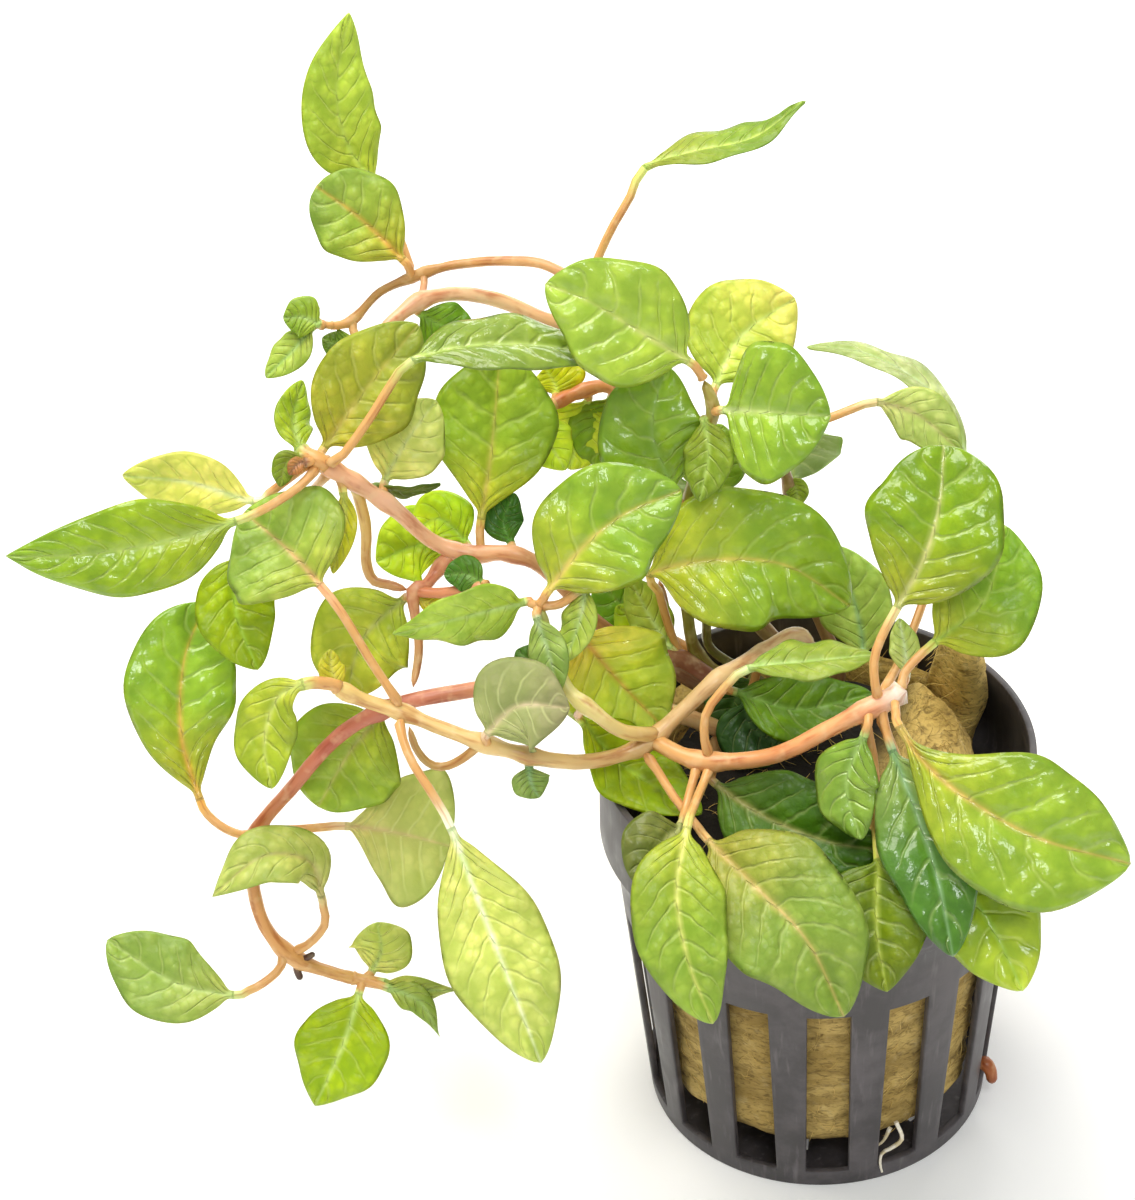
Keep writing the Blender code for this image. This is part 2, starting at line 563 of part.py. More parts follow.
def make_pot():
    """A net pot: a smooth collar, a tapered wall with upright slots, a floor with drain slots."""
    knee = POT_HEIGHT - COLLAR_HEIGHT - SHOULDER_DROP
    outside = [(BASE_RADIUS, 0.0), (SHOULDER_RADIUS, knee),
               (COLLAR_FOOT_RADIUS, knee + SHOULDER_DROP), (RIM_RADIUS, POT_HEIGHT)]
    inside = [(radius - WALL, height) for radius, height in reversed(outside[1:])]
    inside += [(BASE_RADIUS - WALL, FLOOR_THICKNESS)]
    shape = bmesh.new()
    line = [shape.verts.new((radius, 0, height)) for radius, height in outside + inside]
    rim = [shape.edges.new(pair) for pair in zip(line, line[1:])]
    bmesh.ops.spin(shape, geom=line + rim, axis=(0, 0, 1), cent=(0, 0, 0), steps=POT_STEPS,
                   angle=2 * math.pi, use_merge=True)
    bmesh.ops.remove_doubles(shape, verts=shape.verts, dist=1e-6)
    ends = [edge for edge in shape.edges if edge.is_boundary]
    bmesh.ops.holes_fill(shape, edges=ends, sides=0)
    pot = finish("net_pot", shape, paint("Black polypropylene", (0.035, 0.033, 0.036), 0.45))
    cuts = bmesh.new()
    for k in range(SLOT_COUNT):
        box(cuts, (SLOT_WIDTH, 9 * MM, SLOT_TOP - SLOT_BOTTOM),
            (0, -BASE_RADIUS - 1 * MM, (SLOT_TOP + SLOT_BOTTOM) / 2),
            SLOT_TURN + 2 * math.pi * k / SLOT_COUNT)
    for k in range(DRAIN_COUNT):
        box(cuts, (DRAIN_WIDTH, DRAIN_OUTER - DRAIN_INNER, 4 * FLOOR_THICKNESS),
            (0, -(DRAIN_OUTER + DRAIN_INNER) / 2, 0), 2 * math.pi * k / DRAIN_COUNT)
    cutter = finish("pot_cutter", cuts, pot.data.materials[0])
    cutter.hide_render = True
    cutter.display_type = "WIRE"
    cut = pot.modifiers.new("slots", "BOOLEAN")
    cut.operation = "DIFFERENCE"
    cut.object = cutter
    pot.data.set_sharp_from_angle(angle=math.radians(30))
    return pot


WRAP_START = math.radians(28)
WRAP_END = math.radians(172)
WRAP_THICK = 5.0 * MM
WRAP_LIFT = 9.0 * MM
LIFT_START = math.radians(52)
LIFT_END = math.radians(42)
CORE_STEP = math.radians(-8)
CORE_LIFT = 3.5 * MM
CORE_CORNERS = 24
WRAP_STEPS = 12


def wool_levels():
    """Heights of the wool's rings and how far each draws in from the pot's wall."""
    return [(WOOL_FOOT, 1.6 * MM), (WOOL_FOOT + 2 * MM, 0.0), (26 * MM, 0.0),
            (WOOL_TOP - 2 * MM, 0.2 * MM), (WOOL_TOP, 1.8 * MM)]


def between(value, first, last):
    """0 up to first and 1 from last on."""
    return min(max((value - first) / (last - first), 0.0), 1.0)


def high(height):
    """How much of the lift a ring of the wool gets: none below 26 mm, all at the top."""
    return between(height, 26 * MM, WOOL_TOP - 2 * MM)


def make_core(material):
    """The plug of wool that the stems grow from, a little higher on its dry right side."""
    rings = []
    for height, inset in wool_levels():
        ring = []
        for k in range(CORE_CORNERS):
            angle = 2 * math.pi * k / CORE_CORNERS
            reach = inner_radius(height) - WOOL_GAP - inset
            if CORE_STEP - 0.2 < (angle + math.pi / 2) % (2 * math.pi) - math.pi / 2 < WRAP_END + 0.2:
                reach -= WRAP_THICK + WOOL_GAP
            place = Vector((reach * math.cos(angle), reach * math.sin(angle), height))
            place.z += CORE_LIFT * high(height) * between(place.x, 9 * MM, 13 * MM) * between(
                place.y, -9 * MM, -3 * MM)
            ring.append(place)
        rings.append(ring)
    return loft("wool_core", rings, material)


def make_wrap(material):
    """The strip of wool folded round the back of the plug; its right end stands up out of the pot."""
    rings = []
    for height, inset in wool_levels():
        outer = inner_radius(height) - WOOL_GAP - inset
        inner = inner_radius(height) - WOOL_GAP - WRAP_THICK + inset / 2
        angles = [WRAP_START + (WRAP_END - WRAP_START) * k / WRAP_STEPS for k in range(WRAP_STEPS + 1)]
        tops = [height + WRAP_LIFT * high(height) * between(a, LIFT_START, LIFT_END) for a in angles]
        edge = list(zip(angles, tops))
        ring = [Vector((outer * math.cos(a), outer * math.sin(a), top)) for a, top in edge]
        ring += [Vector((inner * math.cos(a), inner * math.sin(a), top)) for a, top in reversed(edge)]
        rings.append(ring)
    return loft("wool_wrap", rings, material)


def make_root():
    """A cut root that sticks out of a slot near the pot's foot."""
    path = smooth_path([spot(981, 1063, -5), spot(986, 1064, -5.4), spot(991, 1072, -6),
                        spot(992, 1084, -6.5)], 5)
    side = Vector((0, 0, 1))
    rings = []
    for place, along, radius in zip(path, tangents(path), (0.9, 1.0, 0.9, 0.7, 0.35)):
        side = (side - along * side.dot(along)).normalized()
        rings.append(round_ring(place, side, side.cross(along), radius * MM, STEM_SIDES))
    return loft("root_stub", rings, paint("Root bark", (0.42, 0.2, 0.09), 0.7))


for old in list(bpy.data.objects):
    bpy.data.objects.remove(old, do_unlink=True)

LEAF_PAINT = paint("Leaf upper side", (0.13, 0.34, 0.035), 0.35)
UNDER_PAINT = paint("Leaf lower side", (0.27, 0.4, 0.16), 0.5)
STEM_PAINT = paint("Stem", (0.55, 0.26, 0.13), 0.45)
WOOL_PAINT = paint("Rock wool", (0.45, 0.32, 0.12), 0.95)

make_pot()
make_core(WOOL_PAINT)
make_wrap(WOOL_PAINT)
make_root()

CARRIED = [name for spec in STEMS.values() for name in spec.get("carries", [])]
PATHS = {}
for stem in STEMS:
    PATHS[stem] = stem_path(stem, PATHS)
SOLIDS = {stem: make_stem(stem, PATHS) for stem in STEMS}
for leaf in LEAVES:
    SOLIDS[leaf] = make_leaf(leaf, PATHS)
for stem, spec in STEMS.items():
    for name in spec.get("carries", []):
        fuse(SOLIDS[stem], SOLIDS[name])
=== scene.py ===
import math
import random

import bmesh
import bpy
from mathutils import Matrix, Vector, noise


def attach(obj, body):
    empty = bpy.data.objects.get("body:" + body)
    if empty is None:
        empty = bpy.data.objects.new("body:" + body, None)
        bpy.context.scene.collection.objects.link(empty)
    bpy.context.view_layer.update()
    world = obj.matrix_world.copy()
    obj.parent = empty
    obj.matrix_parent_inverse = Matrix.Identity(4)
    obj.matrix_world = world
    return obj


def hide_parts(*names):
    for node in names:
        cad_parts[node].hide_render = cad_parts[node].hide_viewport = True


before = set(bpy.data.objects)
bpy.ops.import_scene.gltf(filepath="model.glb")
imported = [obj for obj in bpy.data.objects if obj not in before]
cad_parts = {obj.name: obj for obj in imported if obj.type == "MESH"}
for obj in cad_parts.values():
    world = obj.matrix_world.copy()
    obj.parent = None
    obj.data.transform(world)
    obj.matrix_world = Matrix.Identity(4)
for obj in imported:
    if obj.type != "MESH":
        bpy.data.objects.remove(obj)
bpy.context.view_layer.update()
print("frame loaded:", len(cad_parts), "solids")

mm = 0.001

# where the photograph was taken from: the eye in mm, angles in degrees, focal length in pixels
view = dict(eye=(0.0, -331.6, 330.2), pitch=37.5, yaw=4.98, roll=-2.99, focal=3618.0, photo=(1135, 1200))

eye = Vector(view["eye"]) * mm
pitch, yaw, roll = (math.radians(view[name]) for name in ("pitch", "yaw", "roll"))
ahead = Vector((-math.sin(yaw) * math.cos(pitch), math.cos(yaw) * math.cos(pitch), -math.sin(pitch)))
levelRight = ahead.cross(Vector((0, 0, 1))).normalized()
levelUp = levelRight.cross(ahead)
rightward = levelRight * math.cos(roll) + levelUp * math.sin(roll)
upward = levelUp * math.cos(roll) - levelRight * math.sin(roll)
photoMiddle = (view["photo"][0] / 2, view["photo"][1] / 2)

lens = bpy.data.cameras.new("Photo camera")
lens.sensor_fit = "HORIZONTAL"
lens.sensor_width = 36
lens.lens = 36 * view["focal"] / view["photo"][0]
lens.clip_start = 0.01
camera = bpy.data.objects.new("Photo camera", lens)
turned = Matrix((rightward, upward, -ahead)).transposed().to_4x4()
camera.matrix_world = Matrix.Translation(eye) @ turned
bpy.context.scene.collection.objects.link(camera)
bpy.context.scene.camera = camera
bpy.context.scene.view_settings.view_transform = "Standard"   # so that a colour shows as it was picked


# reading the photograph: every place is a point seen there and a depth
def sight(across, down):
    return (ahead + rightward * ((across - photoMiddle[0]) / view["focal"])
            + upward * ((photoMiddle[1] - down) / view["focal"]))


def spot(across, down, behind):  # the point seen there that lies so many mm behind the pot's axis
    ray = sight(across, down)
    return eye + ray * ((behind * mm - eye.y) / ray.y)


def beside(across, down, anchor, nearer):  # the point seen there, so many mm nearer than the anchor
    return eye + sight(across, down) * ((anchor - eye).dot(ahead) - nearer * mm)


def seenAt(point):
    ray = point - eye
    return Vector((photoMiddle[0] + view["focal"] * ray.dot(rightward) / ray.dot(ahead),
                   photoMiddle[1] - view["focal"] * ray.dot(upward) / ray.dot(ahead)))


def smoothPath(points, count):
    ends = [points[0] * 2 - points[1]] + points + [points[-1] * 2 - points[-2]]
    fine = []
    for i in range(1, len(ends) - 2):
        a, b, c, d = ends[i - 1:i + 3]
        for step in range(12):
            t = step / 12
            fine.append((b * 2 + (c - a) * t + (a * 2 - b * 5 + c * 4 - d) * t * t
                         + (b * 3 - a - c * 3 + d) * t ** 3) * 0.5)
    fine.append(points[-1].copy())
    reach = [0.0]
    for a, b in zip(fine, fine[1:]):
        reach.append(reach[-1] + (b - a).length)
    path, i = [], 0
    for n in range(count):
        want = reach[-1] * n / (count - 1)
        while i < len(fine) - 2 and reach[i + 1] < want:
            i += 1
        share = (want - reach[i]) / max(reach[i + 1] - reach[i], 1e-9)
        path.append(fine[i].lerp(fine[i + 1], min(max(share, 0.0), 1.0)))
    return path


def lengthOf(path):
    return sum((b - a).length for a, b in zip(path, path[1:]))


def waysOf(path):
    last = len(path) - 1
    return [(path[min(i + 1, last)] - path[max(i - 1, 0)]).normalized() for i in range(last + 1)]


def ease(value, low, high):  # 0 below low, 1 above high, smooth between
    share = min(max((value - low) / (high - low), 0.0), 1.0)
    return share * share * (3 - 2 * share)


def linear(hexColour):  # sRGB hex to linear
    parts = [int(hexColour[i:i + 2], 16) / 255 for i in (1, 3, 5)]
    return Vector([part / 12.92 if part <= 0.04045 else ((part + 0.055) / 1.055) ** 2.4 for part in parts])


def mixed(colours, share):  # along a list of colours
    place = min(max(share, 0.0), 1.0) * (len(colours) - 1)
    low = min(int(place), len(colours) - 2)
    return colours[low].lerp(colours[low + 1], place - low)


# materials
def newMaterial(name):
    material = bpy.data.materials.new(name)
    material.use_nodes = True
    material.node_tree.nodes.clear()
    return material, material.node_tree


def addNode(tree, kind, links=None, out=0, **settings):  # links: input to a value or a socket
    node = tree.nodes.new(kind)
    for name, value in settings.items():
        setattr(node, name, value)
    for name, value in (links or {}).items():
        if isinstance(value, bpy.types.NodeSocket):
            tree.links.new(value, node.inputs[name])
        else:
            node.inputs[name].default_value = value
    return node.outputs[out] if len(node.outputs) else node


def rgba(hexColour):
    return (*linear(hexColour), 1.0)


smooth = dict(interpolation_type="SMOOTHSTEP")   # for Map Range: value, from low, from high, to low, to high
colours = dict(out=2, data_type="RGBA")          # for Mix: 0 share, 6 and 7 the two colours
multiply = dict(colours, blend_type="MULTIPLY")

leafLook = dict(
    mottle=3.2,          # mm across a patch of colour
    cells=1.5,           # mm across a dimple of the fine vein net; drawn coarser than real, to show
    grain=0.45,          # mm across the skin's unevenness
    sway=2.5,            # mm between the bends of a side vein
    veinWidth=0.13,      # share of the space between two side veins
    furrow=0.12,         # mm deep
    dimple=0.16,         # mm high
    grainHigh=0.05,      # mm high
)


def leafMaterial(name, finish, under=False):
    # living leaf: waxy skin over spongy cells, so light sinks in a little; its veins lie in furrows on
    # the upper side and stand proud below
    look = leafLook
    material, tree = newMaterial(name)
    place = addNode(tree, "ShaderNodeTexCoord", out="Object")
    tone = addNode(tree, "ShaderNodeAttribute", out="Color", attribute_name="tone")
    pattern = addNode(tree, "ShaderNodeUVMap", uv_map="pattern")
    phase = addNode(tree, "ShaderNodeSeparateXYZ", {0: pattern})           # counts the side veins
    across = addNode(tree, "ShaderNodeSeparateXYZ", {0: pattern}, out=1)   # 0 midrib to 1 margin
    bend = addNode(tree, "ShaderNodeTexNoise",
                   {"Vector": place, "Scale": 1 / (look["sway"] * mm), "Detail": 1.0})
    bend = addNode(tree, "ShaderNodeMapRange", {0: bend, 1: 0.2, 2: 0.8, 3: -0.14, 4: 0.14})
    swayed = addNode(tree, "ShaderNodeMath", {0: phase, 1: bend}, operation="ADD")
    toVein = addNode(tree, "ShaderNodeMath", {0: swayed, 1: 0.5}, operation="PINGPONG")   # 0 on a vein
    vein = addNode(tree, "ShaderNodeMapRange",
                   {0: toVein, 1: 0.0, 2: look["veinWidth"], 3: 1.0, 4: 0.0}, **smooth)
    toMargin = addNode(tree, "ShaderNodeMapRange", {0: across, 1: 0.5, 2: 0.95, 3: 1.0, 4: 0.0}, **smooth)
    vein = addNode(tree, "ShaderNodeMath", {0: vein, 1: toMargin}, operation="MULTIPLY")
    patches = addNode(tree, "ShaderNodeTexNoise",
                      {"Vector": place, "Scale": 1 / (look["mottle"] * mm), "Detail": 3.0})
    cells = addNode(tree, "ShaderNodeTexVoronoi", {"Vector": place, "Scale": 1 / (look["cells"] * mm)},
                    feature=finish["dimples"])
    dimples = addNode(tree, "ShaderNodeMapRange", {0: cells, 1: 0.0, 2: 0.75, 3: 1.0, 4: 0.0}, **smooth)
    grain = addNode(tree, "ShaderNodeTexNoise",
                    {"Vector": place, "Scale": 1 / (look["grain"] * mm), "Detail": 2.0})
    shade = rgba("#d2dfc0" if under else "#b4c98c")
    dark = addNode(tree, "ShaderNodeMix", {0: 1.0, 6: tone, 7: shade}, **multiply)
    share = addNode(tree, "ShaderNodeMapRange", {0: patches, 1: 0.35, 2: 0.65, 3: 0.0, 4: 0.5}, **smooth)
    colour = addNode(tree, "ShaderNodeMix", {0: share, 6: tone, 7: dark}, **colours)
    seam = addNode(tree, "ShaderNodeMapRange", {0: dimples, 1: 0.0, 2: 0.6, 3: 0.35, 4: 0.0}, **smooth)
    colour = addNode(tree, "ShaderNodeMix", {0: seam, 6: colour, 7: dark}, **colours)
    pale = addNode(tree, "ShaderNodeMix", {0: 0.45 if under else 0.3, 6: tone, 7: rgba("#e2eba0")}, **colours)
    share = addNode(tree, "ShaderNodeMath", {0: vein, 1: 0.65 if under else 0.42}, operation="MULTIPLY")
    colour = addNode(tree, "ShaderNodeMix", {0: share, 6: colour, 7: pale}, **colours)
    rough = addNode(tree, "ShaderNodeMapRange",
                    {0: patches, 1: 0.3, 2: 0.7, 3: finish["rough"][0], 4: finish["rough"][1]})
    side = -0.5 if under else 1.0
    bump = addNode(tree, "ShaderNodeBump", {"Height": vein, "Distance": -side * look["furrow"] * mm})
    bump = addNode(tree, "ShaderNodeBump",
                   {"Height": dimples, "Distance": side * look["dimple"] * mm, "Normal": bump})
    bump = addNode(tree, "ShaderNodeBump",
                   {"Height": grain, "Distance": look["grainHigh"] * mm, "Normal": bump})
    shader = addNode(tree, "ShaderNodeBsdfPrincipled", {
        "Base Color": colour, "Roughness": rough, "IOR": 1.42, "Normal": bump,
        "Specular IOR Level": finish["shine"], "Subsurface Weight": 0.15,
        "Subsurface Radius": (0.5, 0.9, 0.15), "Subsurface Scale": 0.7 * mm,
        "Coat Weight": finish["film"], "Coat Roughness": finish["filmRough"], "Coat IOR": 1.33,
        "Coat Normal": bump})
    addNode(tree, "ShaderNodeOutputMaterial", {0: shader})
    return material


# dimples: SMOOTH_F1 rounds them off, so that the gloss runs on; F1 is quicker
leafWet = leafMaterial("Wet glossy leaf skin", dict(
    rough=(0.26, 0.42), shine=0.4, film=1.0, filmRough=0.05, dimples="SMOOTH_F1"))
leafSatin = leafMaterial("Waxy leaf skin", dict(
    rough=(0.4, 0.58), shine=0.35, film=0.35, filmRough=0.22, dimples="F1"))
leafBelow = leafMaterial("Leaf underside", dict(
    rough=(0.5, 0.68), shine=0.3, film=0.0, filmRough=0.3, dimples="F1"), under=True)

stemLook = dict(streak=5.0, streakCount=6.0, fleck=1.6)   # mm along a streak, streaks round the stem, mm


def stemMaterial():
    # fleshy stem skin: smooth and damp, with fine lengthwise streaks and pale flecks
    material, tree = newMaterial("Fleshy stem skin")
    place = addNode(tree, "ShaderNodeTexCoord", out="Object")
    tone = addNode(tree, "ShaderNodeAttribute", out="Color", attribute_name="tone")
    pattern = addNode(tree, "ShaderNodeUVMap", uv_map="pattern")
    laid = addNode(tree, "ShaderNodeMapping",
                   {0: pattern, 3: (1 / stemLook["streak"], stemLook["streakCount"], 1.0)})
    streaks = addNode(tree, "ShaderNodeTexNoise", {"Vector": laid, "Scale": 1.0, "Detail": 3.0})
    blotches = addNode(tree, "ShaderNodeTexNoise",
                       {"Vector": place, "Scale": 1 / (stemLook["fleck"] * mm), "Detail": 2.0})
    dark = addNode(tree, "ShaderNodeMix", {0: 1.0, 6: tone, 7: rgba("#c89478")}, **multiply)
    pale = addNode(tree, "ShaderNodeMix", {0: 0.4, 6: tone, 7: rgba("#f6dfae")}, **colours)
    share = addNode(tree, "ShaderNodeMapRange", {0: streaks, 1: 0.45, 2: 0.75, 3: 0.0, 4: 0.8}, **smooth)
    colour = addNode(tree, "ShaderNodeMix", {0: share, 6: tone, 7: dark}, **colours)
    share = addNode(tree, "ShaderNodeMapRange", {0: blotches, 1: 0.5, 2: 0.75, 3: 0.0, 4: 0.6}, **smooth)
    colour = addNode(tree, "ShaderNodeMix", {0: share, 6: colour, 7: pale}, **colours)
    rough = addNode(tree, "ShaderNodeMapRange", {0: blotches, 1: 0.3, 2: 0.7, 3: 0.28, 4: 0.48})
    bump = addNode(tree, "ShaderNodeBump", {"Height": streaks, "Strength": 0.6, "Distance": 0.12 * mm})
    bump = addNode(tree, "ShaderNodeBump",
                   {"Height": blotches, "Strength": 0.4, "Distance": 0.1 * mm, "Normal": bump})
    shader = addNode(tree, "ShaderNodeBsdfPrincipled", {
        "Base Color": colour, "Roughness": rough, "IOR": 1.42, "Normal": bump, "Specular IOR Level": 0.4,
        "Subsurface Weight": 0.15, "Subsurface Radius": (0.8, 0.4, 0.2), "Subsurface Scale": 0.8 * mm,
        "Coat Weight": 0.4, "Coat Roughness": 0.18, "Coat IOR": 1.33, "Coat Normal": bump})
    addNode(tree, "ShaderNodeOutputMaterial", {0: shader})
    return material


stemSkin = stemMaterial()
print("plant materials ready")


def gridPlaces(shape, rows, columns):  # the row and column of each corner of a fresh grid
    return {corner: (round((corner.co.x + 0.5) * rows), round((corner.co.y + 0.5) * columns))
            for corner in shape.verts}


# a grid rolled round a path and welded along its seam; place, tone, pattern and kind give the point,
# colour, pattern coordinates and material number at a row and column
def wrapped(name, rows, columns, place, tone, pattern, kind, materials, nodes):
    shape = bmesh.new()
    bmesh.ops.create_grid(shape, x_segments=rows, y_segments=columns, size=0.5)
    marks = shape.loops.layers.uv.new("pattern")
    tones = shape.verts.layers.float_color.new("tone")
    where = gridPlaces(shape, rows, columns)
    for face in shape.faces:
        low = [min(where[corner][n] for corner in face.verts) for n in (0, 1)]
        face.material_index = kind(*low)
        face.smooth = True
        for loop in face.loops:
            loop[marks].uv = pattern(*where[loop.vert])
    for corner, (row, column) in where.items():
        corner.co = place(row, column % columns)
        corner[tones] = (*tone(row, column % columns), 1.0)
    bmesh.ops.remove_doubles(shape, verts=shape.verts, dist=1e-7)
    bmesh.ops.recalc_face_normals(shape, faces=shape.faces)
    show(name, shape, materials, nodes)


def oneKind(row, column):        # the same material all over
    return 0


def plainPattern(row, column):   # for a material that reads no pattern coordinates
    return (row, column)


def show(name, shape, materials, nodes):
    mesh = bpy.data.meshes.new(name)
    shape.to_mesh(mesh)
    shape.free()
    for material in materials:
        mesh.materials.append(material)
    return addPiece(name, mesh, nodes)


def addPiece(name, data, nodes):
    piece = bpy.data.objects.new(name, data)
    bpy.context.scene.collection.objects.link(piece)
    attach(piece, "root")
    if nodes:
        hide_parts(*nodes)
    return piece


def wobble(point, size, reach):  # smooth unevenness, -reach to reach
    return noise.noise(point / (size * mm)) * reach


# stems
woolTop = 49.5                               # mm
stemPlan = dict(                             # mm, or a share of the stem's radius
    rowEvery=0.8, columns=14,
    sunk=4.0, clear=0.6, upright=3.0,        # how far it starts in the wool, and its first rise above it
    swelling=0.32, swellingReach=1.3,        # at the joints
    uneven=0.09, unevenWide=2.2, ridge=0.03, ridges=4,
    tip=0.75, ragged=0.35, raggedWide=0.5,   # a rounded end, and a cut one
    mottle=0.14, mottleWide=3.0, cutTone="#f0dcc8",
)

